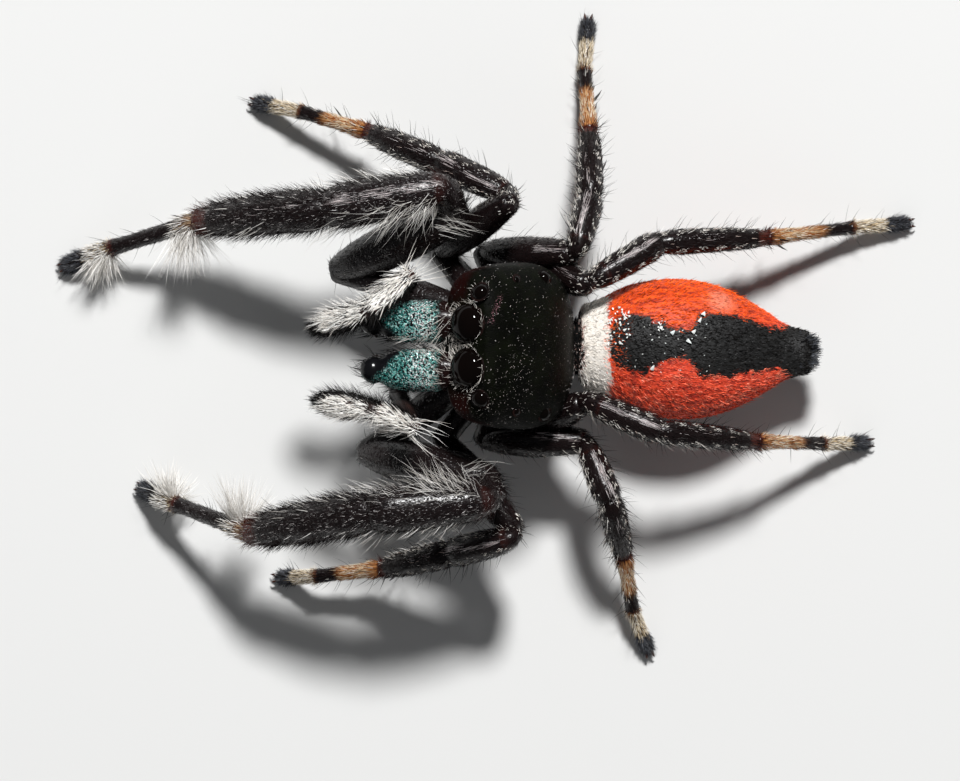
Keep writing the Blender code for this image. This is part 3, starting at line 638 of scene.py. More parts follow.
# How pale and how tan a leg is along its marks, which run 0 coxa, 1 femur, 2 patella, 3 tibia, 4 metatarsus,
# 5 tarsus and end at 6
legBands = {
    "frontLegPattern": {
        "pale": (
            (0.0, 0.0), (3.996, 0.0), (4.044, 0.50), (4.20, 0.35), (4.272, 0.0), (4.992, 0.0), (5.04, 0.70),
            (5.40, 0.55), (5.508, 0.0),
        ),
        "tan": (
            (0.0, 0.0), (3.93, 0.0), (3.984, 0.9), (4.14, 0.5), (4.272, 0.0), (4.956, 0.0), (5.004, 0.5),
            (5.10, 0.0),
        ),
    },
    "rearLegPattern": {
        "pale": (
            (0.0, 0.0), (4.044, 0.0), (4.14, 0.62), (4.41, 0.78), (4.596, 0.25), (4.668, 0.0), (4.98, 0.0),
            (5.028, 0.95), (5.58, 0.85), (5.70, 0.0),
        ),
        "tan": (
            (0.0, 0.0), (3.93, 0.0), (3.99, 1.0), (4.59, 0.9), (4.692, 0.0), (4.956, 0.0), (5.016, 0.6),
            (5.13, 0.10), (5.70, 0.0),
        ),
    },
}
legLook = {
    "marksEnd": 6.0,
    # red-brown at the elbow and at both ends of the metatarsus
    "rims": (
        (0.0, 0.0), (2.271, 0.0), (2.277, 0.45), (2.295, 0.45), (2.301, 0.0), (3.876, 0.0), (3.90, 1.0),
        (4.008, 1.0), (4.044, 0.0), (4.956, 0.0), (4.98, 0.8), (5.004, 0.8), (5.028, 0.0),
    ),
    "wander": 0.16, "strandWander": 0.08, "mottle": (0.42, 0.60),
    "black": ((0.003, 0.003, 0.0035), (0.015, 0.0075, 0.0070)), "darkTan": (0.50, 0.36, 0.30),
    "rim": (0.058, 0.010, 0.006), "cream": ((0.62, 0.48, 0.29), (0.94, 0.89, 0.78)),
    "fleck": (0.62, 0.50, 0.44), "fleckReach": ((1.80, 1.95), (4.0, 3.9)), "fleckHeight": (-0.2, 0.4),
}


def buildLegPattern(name):
    look = legLook
    tree, given, out = newGroup(
        name, [("Mark", "NodeSocketVector", None), ("Tint", "NodeSocketFloat", 0.0),
               ("Flecks", "NodeSocketFloat", 0.2), ("Tan", "NodeSocketColor", (0.3, 0.12, 0.05, 1))],
        [("Colour", "NodeSocketColor")])
    mark, tint = given["Mark"], given["Tint"]
    split = addNode(tree, "ShaderNodeSeparateXYZ", {0: mark}).outputs
    wander = centred(tree, noise(tree, mark, 7.0, 2.0), look["wander"])
    place = total(tree, split["X"], calc(tree, "MULTIPLY_ADD", tint, look["strandWander"], wander))
    band = curve(tree, place, legBands[name]["pale"], look["marksEnd"])
    tan = curve(tree, place, legBands[name]["tan"], look["marksEnd"])
    rim = curve(tree, split["X"], look["rims"], look["marksEnd"])
    mottle = smoothStep(tree, noise(tree, mark, 8.0, 2.0), *look["mottle"])
    black = mixColour(tree, noise(tree, mark, 18.0), *look["black"])
    darker = mixColour(tree, 1.0, given["Tan"], look["darkTan"], "MULTIPLY")
    colour = mixColour(tree, tan, black, mixColour(tree, mottle, darker, given["Tan"]))
    colour = mixColour(tree, rim, colour, look["rim"])

    # Cream strands are picked one by one; the skin, whose tint is 0, is mottled instead
    isHair = calc(tree, "GREATER_THAN", tint, 0.0001)
    onHair = product(tree, isHair, calc(tree, "LESS_THAN", tint, band))
    onSkin = product(tree, calc(tree, "SUBTRACT", 1.0, isHair), band, mottle)
    colour = mixColour(tree, total(tree, onHair, onSkin), colour, mixColour(tree, tint, *look["cream"]))
    fleck = calc(tree, "GREATER_THAN", tint, calc(tree, "SUBTRACT", 1.0, given["Flecks"]))
    start, end = look["fleckReach"]
    fleck = product(tree, fleck, smoothStep(tree, split["X"], *start), smoothStep(tree, split["X"], *end),
                    smoothStep(tree, split["Z"], *look["fleckHeight"]))
    tree.links.new(mixColour(tree, fleck, colour, look["fleck"]), out["Colour"])
    return tree


def buildFineGrain():
    # Hair sockets, fine dimples and long waves on cuticle
    tree, given, out = newGroup(
        "fineGrain",
        [("Place", "NodeSocketVector", None), ("Dimples", "NodeSocketFloat", 14.0),
         ("Waves", "NodeSocketFloat", 3.0)],
        [("Height", "NodeSocketFloat"), ("Wear", "NodeSocketFloat")])
    pits = smoothStep(tree, mosaic(tree, given["Place"], given["Dimples"])["Distance"], 0.0, 0.45)
    waves = noise(tree, given["Place"], given["Waves"], 4.0, 0.6)
    tree.links.new(calc(tree, "MULTIPLY_ADD", pits, 0.5, waves), out["Height"])
    tree.links.new(smoothStep(tree, waves, 0.35, 0.7), out["Wear"])
    return tree


def buildSparkle():
    # Scattered bright scales, each one cell of a fine mosaic, used for painted glints
    tree, given, out = newGroup(
        "sparkle",
        [("Place", "NodeSocketVector", None), ("Size", "NodeSocketFloat", 30.0),
         ("Share", "NodeSocketFloat", 0.05)],
        [("Mask", "NodeSocketFloat"), ("Choice", "NodeSocketFloat")])
    cells = mosaic(tree, given["Place"], given["Size"])
    choice = addNode(tree, "ShaderNodeSeparateColor", {0: cells["Color"]}).outputs
    picked = calc(tree, "LESS_THAN", choice["Red"], given["Share"])
    near = smoothStep(tree, cells["Distance"], 0.5, 0.35)
    tree.links.new(product(tree, picked, near), out["Mask"])
    tree.links.new(choice["Green"], out["Choice"])
    return tree


def buildStrandTone():
    # Painted shade darkens each strand toward its root and painted light lightens its tip; strands also
    # differ at random
    tree, given, out = newGroup(
        "strandTone",
        [("Colour", "NodeSocketColor", (1, 1, 1, 1)), ("Tint", "NodeSocketFloat", 0.5),
         ("Reach", "NodeSocketFloat", 0.5), ("Variation", "NodeSocketFloat", 0.4)],
        [("Colour", "NodeSocketColor")])
    level = calc(tree, "MULTIPLY_ADD", given["Reach"], 0.35, 0.75)
    vary = product(tree, calc(tree, "SUBTRACT", given["Tint"], 0.5), given["Variation"])
    level = total(tree, level, vary)
    grey = addNode(tree, "ShaderNodeCombineColor", {0: level, 1: level, 2: level}).outputs[0]
    tree.links.new(mixColour(tree, 1.0, given["Colour"], grey, "MULTIPLY"), out["Colour"])
    return tree


groups = {
    "abdomenPattern": buildAbdomenPattern(), "fineGrain": buildFineGrain(), "sparkle": buildSparkle(),
    "strandTone": buildStrandTone(), **{name: buildLegPattern(name) for name in legBands},
}
print("shader groups built")


def placeGroup(tree, name, links):
    return addNode(tree, "ShaderNodeGroup", links, node_tree=groups[name]).outputs


def stored(tree, label):
    node = addNode(tree, "ShaderNodeAttribute", attribute_type="GEOMETRY", attribute_name=label)
    return node.outputs["Vector"] if label == "mark" else node.outputs["Fac"]


def inMillimetres(tree):
    spot = addNode(tree, "ShaderNodeTexCoord").outputs["Object"]
    scaled = addNode(tree, "ShaderNodeVectorMath", {0: spot, "Scale": 1 / millimetre}, operation="SCALE")
    return scaled.outputs[0]


def newMaterial(name, values):
    material = bpy.data.materials.new(name)
    material.use_nodes = True
    tree = material.node_tree
    shader = tree.nodes["Principled BSDF"]
    for label, value in values.items():
        shader.inputs[label].default_value = value
    return material, tree, shader


def addBump(tree, shader, height, distance):
    bump = addNode(tree, "ShaderNodeBump", {"Height": height, "Strength": 1.0,
                                            "Distance": distance * millimetre})
    tree.links.new(bump.outputs[0], shader.inputs["Normal"])


def shellMaterial(name, low, high, roughness, distance=0.012, dimples=14.0, specular=0.5):
    material, tree, shader = newMaterial(name, {"Roughness": roughness, "Specular IOR Level": specular})
    grain = placeGroup(tree, "fineGrain", {"Place": inMillimetres(tree), "Dimples": dimples, "Waves": 3.0})
    tree.links.new(mixColour(tree, grain["Wear"], low, high), shader.inputs["Base Color"])
    addBump(tree, shader, grain["Height"], distance)
    return material


def patternSkin(name, group, links, roughness, distance, specular=0.5):
    material, tree, shader = newMaterial(name, {"Roughness": roughness, "Specular IOR Level": specular})
    pattern = placeGroup(tree, group, {"Mark": stored(tree, "mark"), "Tint": stored(tree, "tint"), **links})
    grain = placeGroup(tree, "fineGrain", {"Place": inMillimetres(tree), "Dimples": 16.0, "Waves": 4.0})
    tree.links.new(pattern["Colour"], shader.inputs["Base Color"])
    addBump(tree, shader, grain["Height"], distance)
    return material


def patternCoat(name, group, links, roughness, variation=0.5):
    material, tree, shader = newMaterial(name, {"Roughness": roughness, "Specular IOR Level": 0.10})
    tint = stored(tree, "tint")
    pattern = placeGroup(tree, group, {"Mark": stored(tree, "mark"), "Tint": tint, **links})
    tone = placeGroup(tree, "strandTone", {"Colour": pattern["Colour"], "Tint": tint,
                                           "Reach": stored(tree, "reach"), "Variation": variation})
    tree.links.new(tone["Colour"], shader.inputs["Base Color"])
    return material


def strandMaterial(name, low, high, roughness, variation=0.4, specular=0.5):
    material, tree, shader = newMaterial(name, {"Roughness": roughness, "Specular IOR Level": specular})
    tint = stored(tree, "tint")
    tone = placeGroup(tree, "strandTone", {"Colour": mixColour(tree, tint, low, high), "Tint": tint,
                                           "Reach": stored(tree, "reach"), "Variation": variation})
    tree.links.new(tone["Colour"], shader.inputs["Base Color"])
    return material


frontLook = {"Flecks": 0.0, "Tan": (0.15, 0.030, 0.012)}
rearLook = {"Flecks": 0.015, "Tan": (0.46, 0.19, 0.055)}
# Two colours, roughness, depth of the relief, dimples and specular level
shellLooks = {
    "shell": ((0.006, 0.005, 0.005), (0.018, 0.012, 0.011), 0.34),
    "fang": ((0.020, 0.006, 0.004), (0.075, 0.022, 0.012), 0.22, 0.004, 6.0),
    "eyeRim": ((0.003, 0.002, 0.002), (0.014, 0.005, 0.004), 0.7, 0.004, 14.0, 0.08),
}
# Two colours, roughness, how much strands differ and specular level
strandLooks = {
    "whiteHair": ((0.66, 0.62, 0.56), (0.95, 0.93, 0.90), 0.45),
    "creamHair": ((0.78, 0.71, 0.62), (1.0, 0.97, 0.92), 0.5),
    "palpWhite": ((0.94, 0.88, 0.81), (1.0, 1.0, 0.97), 0.5, 0.2),
    "glintHair": ((0.12, 0.11, 0.11), (0.72, 0.68, 0.66), 0.25, 0.9),
    "sheenHair": ((0.66, 0.54, 0.54), (1.0, 0.95, 0.94), 0.25, 0.4),
    "greyHair": ((0.010, 0.011, 0.014), (0.075, 0.080, 0.095), 0.5, 0.5),
    "blackHair": ((0.003, 0.003, 0.0035), (0.012, 0.010, 0.009), 0.5, 0.4, 0.08),
    "brightScale": ((0.88, 0.96, 0.95), (1.0, 1.0, 0.95), 0.18, 0.1),
}
finishes = {
    "frontLegSkin": patternSkin("frontLegSkin", "frontLegPattern", frontLook, 0.27, 0.026, 0.50),
    "rearLegSkin": patternSkin("rearLegSkin", "rearLegPattern", rearLook, 0.26, 0.014, 0.32),
    "frontLegCoat": patternCoat("frontLegCoat", "frontLegPattern", frontLook, 0.36),
    "rearLegCoat": patternCoat("rearLegCoat", "rearLegPattern", rearLook, 0.42),
    "abdomenSkin": patternSkin("abdomenSkin", "abdomenPattern", {}, 0.6, 0.020),
    "abdomenCoat": patternCoat("abdomenCoat", "abdomenPattern", {}, 0.40, 0.9),
    **{name: shellMaterial(name, *look) for name, look in shellLooks.items()},
    **{name: strandMaterial(name, *look) for name, look in strandLooks.items()},
}


# The carapace's colours; places are millimetres forward, left and up
carapaceLook = {
    "black": ((0.0018, 0.0020, 0.0014), (0.0038, 0.0048, 0.0022)),
    "cheek": (0.013, 0.0025, 0.002), "cheekFront": (2.9, 3.4), "cheekTop": (1.45, 1.15),
    "cheekSide": (0.70, 1.15),
    # the pink sheen follows a slanting line behind the right front eyes
    "sheenSlope": 0.45, "sheenFront": 3.90, "sheenWidth": (0.085, 0.02), "sheenOuter": (-1.04, -0.92),
    "sheenInner": (-0.35, -0.60), "sheen": ((0.08, 0.025, 0.035), (0.42, 0.22, 0.25)),
    "rear": (1.1, 0.3), "frontLeft": ((2.5, 2.9), (0.1, 0.5)), "shareThere": 0.045, "shareElsewhere": 0.013,
    # scattered scales painted bright as glints, and the pale brown of the rear rim's scales
    "bright": ((0.10, 0.11, 0.08), (0.62, 0.54, 0.52)), "brown": (0.22, 0.13, 0.09),
}


def buildCarapaceMaterial():
    # Black with an olive cast, maroon cheeks, a pink sheen and scattered bright scales, painted as glints,
    # pale brown near the rear rim
    look = carapaceLook
    material, tree, shader = newMaterial("carapace", {"Roughness": 0.5, "Specular IOR Level": 0.03})
    spot = inMillimetres(tree)
    split = addNode(tree, "ShaderNodeSeparateXYZ", {0: stored(tree, "mark")}).outputs
    forward, left, up = split["X"], split["Y"], split["Z"]
    grain = placeGroup(tree, "fineGrain", {"Place": spot, "Dimples": 17.0, "Waves": 2.5})
    colour = mixColour(tree, grain["Wear"], *look["black"])

    uneven = total(tree, up, product(tree, noise(tree, spot, 4.0), 0.3))
    cheek = product(tree, smoothStep(tree, forward, *look["cheekFront"]),
                    smoothStep(tree, uneven, *look["cheekTop"]),
                    smoothStep(tree, calc(tree, "ABSOLUTE", left), *look["cheekSide"]))
    colour = mixColour(tree, cheek, colour, look["cheek"])

    line = calc(tree, "MULTIPLY_ADD", left, look["sheenSlope"], look["sheenFront"])
    away = calc(tree, "ABSOLUTE", calc(tree, "SUBTRACT", line, forward))
    near = product(tree, smoothStep(tree, left, *look["sheenOuter"]),
                   smoothStep(tree, left, *look["sheenInner"]),
                   smoothStep(tree, away, *look["sheenWidth"]))
    glitter = placeGroup(tree, "sparkle", {"Place": spot, "Size": 48.0, "Share": 0.5})
    pink = mixColour(tree, glitter["Choice"], *look["sheen"])
    colour = mixColour(tree, product(tree, near, glitter["Mask"]), colour, pink)

    # Painted glints: scattered scales drawn bright, more at the rear rim, where they turn pale brown as real
    # scales, and at the front on the left
    rearward = smoothStep(tree, forward, *look["rear"])
    ahead, beside = look["frontLeft"]
    frontLeft = product(tree, smoothStep(tree, forward, *ahead), smoothStep(tree, left, *beside))
    share = calc(tree, "MULTIPLY_ADD", calc(tree, "MAXIMUM", rearward, frontLeft), look["shareThere"],
                 look["shareElsewhere"])
    sparkle = placeGroup(tree, "sparkle", {"Place": spot, "Size": 56.0, "Share": share})
    bright = mixColour(tree, sparkle["Choice"], *look["bright"])
    bright = mixColour(tree, product(tree, rearward, 0.6), bright, look["brown"])
    colour = mixColour(tree, product(tree, sparkle["Mask"], 0.85), colour, bright)
    tree.links.new(colour, shader.inputs["Base Color"])
    addBump(tree, shader, grain["Height"], 0.010)
    return material


# The jaws' scales; marks run from 0 at the root to 1 at the tip
jawLook = {
    "scaleSize": 46.0, "edge": (0.90, 0.74), "outerReach": -0.20, "ragged": 0.30, "underside": (-0.35, 0.05),
    # which scales glint, and where along the jaw the painted highlight lies
    "root": (0.11, 0.24), "lit": (0.40, 0.55), "brightPart": ((0.10, 0.30), (0.62, 0.40)), "brightness": 0.34,
    "teal": (
        (0.0, (0.006, 0.07, 0.070)), (0.35, (0.035, 0.34, 0.30)), (0.70, (0.42, 0.82, 0.76)),
        (0.95, (1.0, 1.0, 1.0)),
    ),
    "rootColour": (0.010, 0.0035, 0.003), "bare": (0.005, 0.005, 0.006),
}


def buildCheliceraMaterial():
    # Blue-green scales on the upper two thirds, then bare glossy black. Which scales glint is picked at
    # random, and they turn whiter along the jaw's middle: painted glints and a painted highlight
    look = jawLook
    material, tree, shader = newMaterial("cheliceraScales", {"Specular IOR Level": 0.22})
    spot = inMillimetres(tree)
    split = addNode(tree, "ShaderNodeSeparateXYZ", {0: stored(tree, "mark")}).outputs
    cells = mosaic(tree, spot, look["scaleSize"])
    choice = addNode(tree, "ShaderNodeSeparateColor", {0: cells["Color"]}).outputs
    ragged = centred(tree, noise(tree, spot, 4.0, 3.0), look["ragged"])
    place = total(tree, split["X"], ragged, product(tree, split["Y"], look["outerReach"]))
    pastRoot = smoothStep(tree, calc(tree, "MULTIPLY_ADD", ragged, 0.5, split["X"]), *look["root"])
    scaly = product(tree, smoothStep(tree, place, *look["edge"]),
                    smoothStep(tree, split["Z"], *look["underside"]), pastRoot,
                    smoothStep(tree, choice["Red"], *look["lit"]))
    # Painted highlight: the scales turn whiter along the middle of the jaw
    start, end = look["brightPart"]
    middle = product(tree, smoothStep(tree, split["X"], *start), smoothStep(tree, split["X"], *end))
    bright = calc(tree, "MULTIPLY_ADD", middle, look["brightness"], product(tree, choice["Green"], 0.85))
    bare = mixColour(tree, pastRoot, look["rootColour"], look["bare"])
    colour = mixColour(tree, scaly, bare, curve(tree, bright, look["teal"]))
    tree.links.new(colour, shader.inputs["Base Color"])
    tree.links.new(product(tree, scaly, 0.50), shader.inputs["Metallic"])
    tree.links.new(calc(tree, "MULTIPLY_ADD", scaly, 0.12, 0.20), shader.inputs["Roughness"])
    addBump(tree, shader, product(tree, smoothStep(tree, cells["Distance"], 0.6, 0.1), scaly), 0.014)
    return material


def buildLensMaterial():
    material, tree, shader = newMaterial("eyeLens", {"Roughness": 0.04, "Specular IOR Level": 0.14})
    spot = inMillimetres(tree)
    deep = noise(tree, spot, 1.2, 2.0)
    colour = mixColour(tree, deep, (0.001, 0.001, 0.001), (0.004, 0.002, 0.0015))
    tree.links.new(colour, shader.inputs["Base Color"])
    return material


palpLook = {
    "marksEnd": 4.0,
    "rims": (
        (0.0, 0.0), (1.988, 0.0), (2.0, 1.0), (2.012, 0.0), (2.912, 0.0), (2.936, 1.0), (2.972, 1.0),
        (2.992, 0.0),
    ),
    "brown": ((0.010, 0.007, 0.007), (0.030, 0.014, 0.011)), "rim": (0.060, 0.012, 0.008),
}


def buildPalpMaterial():
    # Dark brown with a red-brown rim at each joint
    look = palpLook
    material, tree, shader = newMaterial("palpSkin", {"Roughness": 0.4})
    along = addNode(tree, "ShaderNodeSeparateXYZ", {0: stored(tree, "mark")}).outputs["X"]
    grain = placeGroup(tree, "fineGrain", {"Place": inMillimetres(tree), "Dimples": 16.0, "Waves": 4.0})
    rim = curve(tree, along, look["rims"], look["marksEnd"])
    brown = mixColour(tree, grain["Wear"], *look["brown"])
    tree.links.new(mixColour(tree, rim, brown, look["rim"]), shader.inputs["Base Color"])
    addBump(tree, shader, grain["Height"], 0.010)
    return material


finishes["carapace"] = buildCarapaceMaterial()
finishes["palpSkin"] = buildPalpMaterial()
finishes["chelicera"] = buildCheliceraMaterial()
finishes["lens"] = buildLensMaterial()
print("materials built")


def roundedEnds(plan, forward, rearDepth, noseDepth, half, top, bottom):
    # Squarish rings across the front body; their size shrinks to nothing through a few rings at each end
    rear = forward[0] - rearDepth * np.sin(capTurns)
    nose = forward[-1] + noseDepth * np.sin(capTurns[::-1])
    shrink = np.concatenate([np.cos(capTurns), np.ones(len(forward)), np.cos(capTurns[::-1])])
    ends = len(capTurns)
    half, top, bottom = [np.concatenate([np.full(ends, row[0]), row, np.full(ends, row[-1])])
                         for row in (half, top, bottom)]
    forward = np.concatenate([rear, forward, nose])
    turns = np.linspace(0, math.tau, plan["columns"], endpoint=False)
    across, up = squared(turns, plan["squareness"])
    middle, high = (top + bottom) / 2, (top - bottom) / 2
    left = (half * shrink)[:, None] * across
    height = middle[:, None] + (high * shrink)[:, None] * up
    place = np.repeat(forward[:, None], len(turns), 1)
    marks = np.stack([place, left, height], -1)
    return {"points": prosoma(place, height, left), "marks": marks}, forward, middle


def carapaceSurface():
    plan = carapaceRows
    stations = np.array(plan["stations"])
    first, last = stations[0, 0], stations[-1, 0]
    forward = np.linspace(first, last, plan["rows"])
    rows = smoothThrough(stations[:, 0], stations[:, 1:], forward).T
    surface, forward, middle = roundedEnds(plan, forward, plan["rearDepth"], plan["noseDepth"], *rows)
    surface["poles"] = [prosoma(first - plan["rearDepth"], middle[0]),
                        prosoma(last + plan["noseDepth"], middle[-1])]
    return surface


def roofHeight(forward, left):
    stations = np.array(carapaceRows["stations"])
    half, top, bottom = smoothThrough(stations[:, 0], stations[:, 1:], [forward])[0]
    squareness = carapaceRows["squareness"]
    share = (1 - abs(left / half) ** squareness) ** (1 / squareness)
    return (top + bottom) / 2 + (top - bottom) / 2 * share


def sternumSurface():
    plan = sternumRows
    stations = np.array(plan["stations"])
    forward = np.linspace(stations[0, 0], stations[-1, 0], plan["rows"])
    half = smoothThrough(stations[:, 0], stations[:, 1], forward)[:, 0]
    top, bottom = np.full(len(forward), plan["top"]), np.full(len(forward), plan["bottom"])
    depth = plan["endDepth"]
    surface, forward, middle = roundedEnds(plan, forward, depth, depth, half, top, bottom)
    surface["poles"] = [prosoma(forward[0] - 0.01, middle[0]), prosoma(forward[-1] + 0.01, middle[-1])]
    return surface


def abdomenMiddle(y):
    plan = abdomenRows
    share = (np.asarray(y, float) - plan["front"]) / (plan["rear"] - plan["front"])
    front, rear = plan["middle"]
    x = front[0] + (rear[0] - front[0]) * share
    z = front[1] + (rear[1] - front[1]) * share
    return np.stack([x, np.asarray(y, float), z], -1)


def abdomenSurface():
    plan = abdomenRows
    stations = np.array(plan["stations"])
    y = np.linspace(stations[0, 0], stations[-1, 0], plan["rows"])
    half = smoothThrough(stations[:, 0], stations[:, 1], y)[:, 0]
    front, rear = plan["endRoundness"][0] * half[0], plan["endRoundness"][1] * half[-1]
    half = np.concatenate([half[0] * np.cos(capTurns), half, half[-1] * np.cos(capTurns[::-1])])
    y = np.concatenate([y[0] - front * np.sin(capTurns), y, y[-1] + rear * np.sin(capTurns[::-1])])
    turns = np.linspace(0, math.tau, plan["columns"], endpoint=False)
    across, up = squared(turns, plan["squareness"])
    level, high = half[:, None] * across, half[:, None] * up * plan["depth"]
    offset = np.stack([level, 0 * level, high], -1)
    points = abdomenMiddle(y)[:, None] + offset
    marks = np.stack([points[..., 1] - plan["front"], offset[..., 0], offset[..., 2]], -1)
    poles = [abdomenMiddle(y[0] - 0.01), abdomenMiddle(y[-1] + 0.01)]
    return {"points": points, "marks": marks, "poles": poles}


def legJoints(name):
    size, hip, headings, heights = legStance[name]
    outward = -1 if name.startswith("right") else 1
    levels = [*heights, toeHeight]
    points = [np.array([hip[0], hip[1], levels[0]])]
    for length, heading, low, high in zip(legLengths[int(name[-1])], headings, levels, levels[1:]):
        rise = high - low
        run = math.sqrt((length * size) ** 2 - rise**2)
        turn = math.radians(heading)
        points.append(points[-1] + np.array([outward * run * math.sin(turn), -run * math.cos(turn), rise]))
    return points


def legSurfaces(name):
    pair = int(name[-1])
    outward = -1 if name.startswith("right") else 1
    forward, up, sideways = coxaRoots[pair]
    root = prosoma(forward, up, outward * sideways)
    hip, elbow, knee, shin, ankle, heel, toe = legJoints(name)
    spans = (root, hip), (hip, elbow), (knee, shin), (shin, ankle), (ankle, heel), (heel, toe)
    surfaces = []
    for number, (segment, span, radius) in enumerate(zip(segmentShapes, spans, legRadii[pair])):
        rows, columns, depth, caps, bow = segmentRings[segment]
        points, radii = shaped(*span, segmentShapes[segment], radius, bow)
        if segment == "patella":
            points = np.concatenate([[elbow], points])
            radii = np.concatenate([[radius * kneeStart], radii])
        surfaces.append(limbSurface(points, radii, number, -outward, rows, columns, depth, caps))
    return surfaces


def palpSurfaces(side):
    sign = sides[side]
    base = [prosoma(forward, up, sign * left) for forward, up, left in palpPlan["base"]]
    joints = [base[-1], *[np.array(joint) for joint in palpPlan[side]]]
    surfaces = [limbSurface(base, palpPlan["baseRadii"], 0, -sign, 20, 24)]
    for number, (shape, radius, rows, caps) in enumerate(palpPlan["segments"], 1):
        points, radii = shaped(joints[number - 1], joints[number], shape, radius)
        surfaces.append(limbSurface(points, radii, number, -sign, rows, 24, caps=caps))
    return surfaces


def ballPiece(name, centre, radius, axis, material, columns=48, rows=30, squash=1.0):
    # A lens: a ball whose poles lie on its axis
    axis = unit(np.asarray(axis, float))
    side = unit(np.cross(axis, (0.3, 0.2, 1.0)))
    upright = np.cross(axis, side)
    polar = np.linspace(0, math.pi, rows + 2)[1:-1]
    turns = np.linspace(0, math.tau, columns, endpoint=False)
    ring = side * np.cos(turns)[:, None] + upright * np.sin(turns)[:, None]
    around, ahead = np.sin(polar)[:, None, None], np.cos(polar)[:, None, None]
    points = centre + radius * (ring[None] * around + axis * ahead * squash)
    poles = centre + axis * radius * squash, centre - axis * radius * squash
    surface = {"points": points, "marks": np.zeros_like(points), "poles": poles}
    return skinPiece(name, [surface], material)


def ringSurface(centre, axis, radius, thick, height=0.6):
    # A raised rim round an eye, its cut drawn as an ellipse
    axis = unit(np.asarray(axis, float))
    side = unit(np.cross(axis, (0.3, 0.2, 1.0)))
    upright = np.cross(axis, side)
    turns = np.linspace(0, math.tau, 49)
    ring = side * np.cos(turns)[:, None] + upright * np.sin(turns)[:, None]
    small = np.linspace(0, math.tau, 12, endpoint=False)
    reach = radius + thick * np.cos(small)
    raised = axis * (thick * height * np.sin(small))[None, :, None]
    return centre + ring[:, None] * reach[None, :, None] + raised


def rimPiece(name, rims, material):
    # Closed rings joined in one mesh
    points, quads, offset = [], [], 0
    for rim in rims:
        rim = rim[:-1]
        rows, columns = rim.shape[:2]
        index = offset + np.arange(rows * columns).reshape(rows, columns)
        beside, ahead = np.roll(index, -1, 1), np.roll(index, -1, 0)
        quads.append(np.stack([index, ahead, np.roll(ahead, -1, 1), beside], -1).reshape(-1, 4))
        points.append(rim.reshape(-1, 3))
        offset += rows * columns
    piece = makeObject(name, np.concatenate(points), np.concatenate(quads), np.empty((0, 3)))
    piece.data.shade_smooth()
    piece.data.materials.append(material)
    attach(piece, "root")
    return piece


faceWay = prosoma(1, 0) - prosoma(0, 0)
roofWay = prosoma(0, 1) - prosoma(0, 0)
# How far each eye's rim stands out from the eye's middle
rimRise = {"main": -0.05, "side": 0.02, "small": 0.02, "rear": 0.03}


def sideEyeWay(sign):
    return faceWay + 0.45 * sign * np.array([1.0, 0, 0]) + 0.3 * roofWay


def makeFrontBody():
    carapace = carapaceSurface()
    piece = skinPiece("carapaceShell", [carapace], finishes["carapace"])
    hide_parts("carapace")
    waist = np.stack([prosoma(*pedicelSize["start"]), abdomenMiddle(pedicelSize["end"])])
    surfaces = [sternumSurface(), limbSurface(waist, np.full(2, pedicelSize["radius"]), 0, 1, 10, 24)]
    piece = skinPiece("sternumAndWaist", surfaces, finishes["shell"])
    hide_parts("sternum", "pedicel")
    rims = []
    for side, sign in sides.items():
        for label, (forward, up, left, radius) in eyePlaces.items():
            facing, way = (forward, up), faceWay
            if up is None:
                facing = (forward, roofHeight(forward, left) - radius * 0.35)
                way = roofWay + 0.35 * sign * np.array([1.0, 0, 0])
            elif label == "side":
                way = sideEyeWay(sign)
            centre = prosoma(*facing, sign * left)
            lens = ballPiece(f"{side}{label.capitalize()}Lens", centre, radius, way, finishes["lens"],
                             squash=lensDepth[label])
            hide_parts(f"{side}_{label}_eye")
            rimCentre = centre + unit(way) * rimRise[label]
            rims.append(ringSurface(rimCentre, way, radius * 1.02, radius * 0.06 + 0.02))
    rim = rimPiece("eyeRims", rims, finishes["eyeRim"])
    return carapace


def makeAbdomen():
    abdomen = abdomenSurface()
    surfaces = [abdomen]
    end = abdomenMiddle(spinneretPlan["start"])
    for across, up, length, radius in spinneretPlan["lobes"]:
        start = end + np.array([across * 0.8, -0.05, up])
        finish = end + np.array([across, length, up * 1.2])
        lobe = limbSurface([start, finish], (radius, radius * 0.75), 0, 1, 10, 16, caps=(0.5, 0.8))
        lobe["marks"] = np.broadcast_to([spinneretPlan["mark"], 0.0, 0.0], lobe["points"].shape).copy()
        surfaces.append(lobe)
    piece = skinPiece("abdomenSkin", surfaces, finishes["abdomenSkin"])
    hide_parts("abdomen", "spinnerets")
    return abdomen, surfaces[1:]


def makeJaws():
    plan = cheliceraSize
    made = {}
    for side, sign in sides.items():
        top = prosoma(*plan["top"], sign * plan["spacing"])
        tip = prosoma(*plan["tip"], sign * plan["spacing"] * 0.97)
        points, radii = shaped(top, tip, plan["shape"], plan["radius"])
        surface = limbSurface(points, radii, 0, -sign, 60, 56, plan["depth"], (0.6, 1.0))
        piece = skinPiece(f"{side}CheliceraShell", [surface], finishes["chelicera"])
        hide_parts(f"{side}_chelicera")
        forward, up = plan["tip"]
        places = [prosoma(forward + ahead, up + above, sign * out)
                  for ahead, above, out in (fangPlan[place] for place in ("knuckle", "bend", "point"))]
        fang = limbSurface(places, fangPlan["radii"], 0, -sign, 24, 20)
        piece = skinPiece(f"{side}FangHook", [fang], finishes["fang"])
        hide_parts(f"{side}_fang")
        made[side] = surface
    return made


def makePalps():
    made = {}
    for side in sides:
        surfaces = palpSurfaces(side)
        piece = skinPiece(f"{side}PalpSkin", surfaces, finishes["palpSkin"])
        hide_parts(*[f"{side}_palp_{part}" for part in ("base", "femur", "brush")])
        made[side] = surfaces
    return made


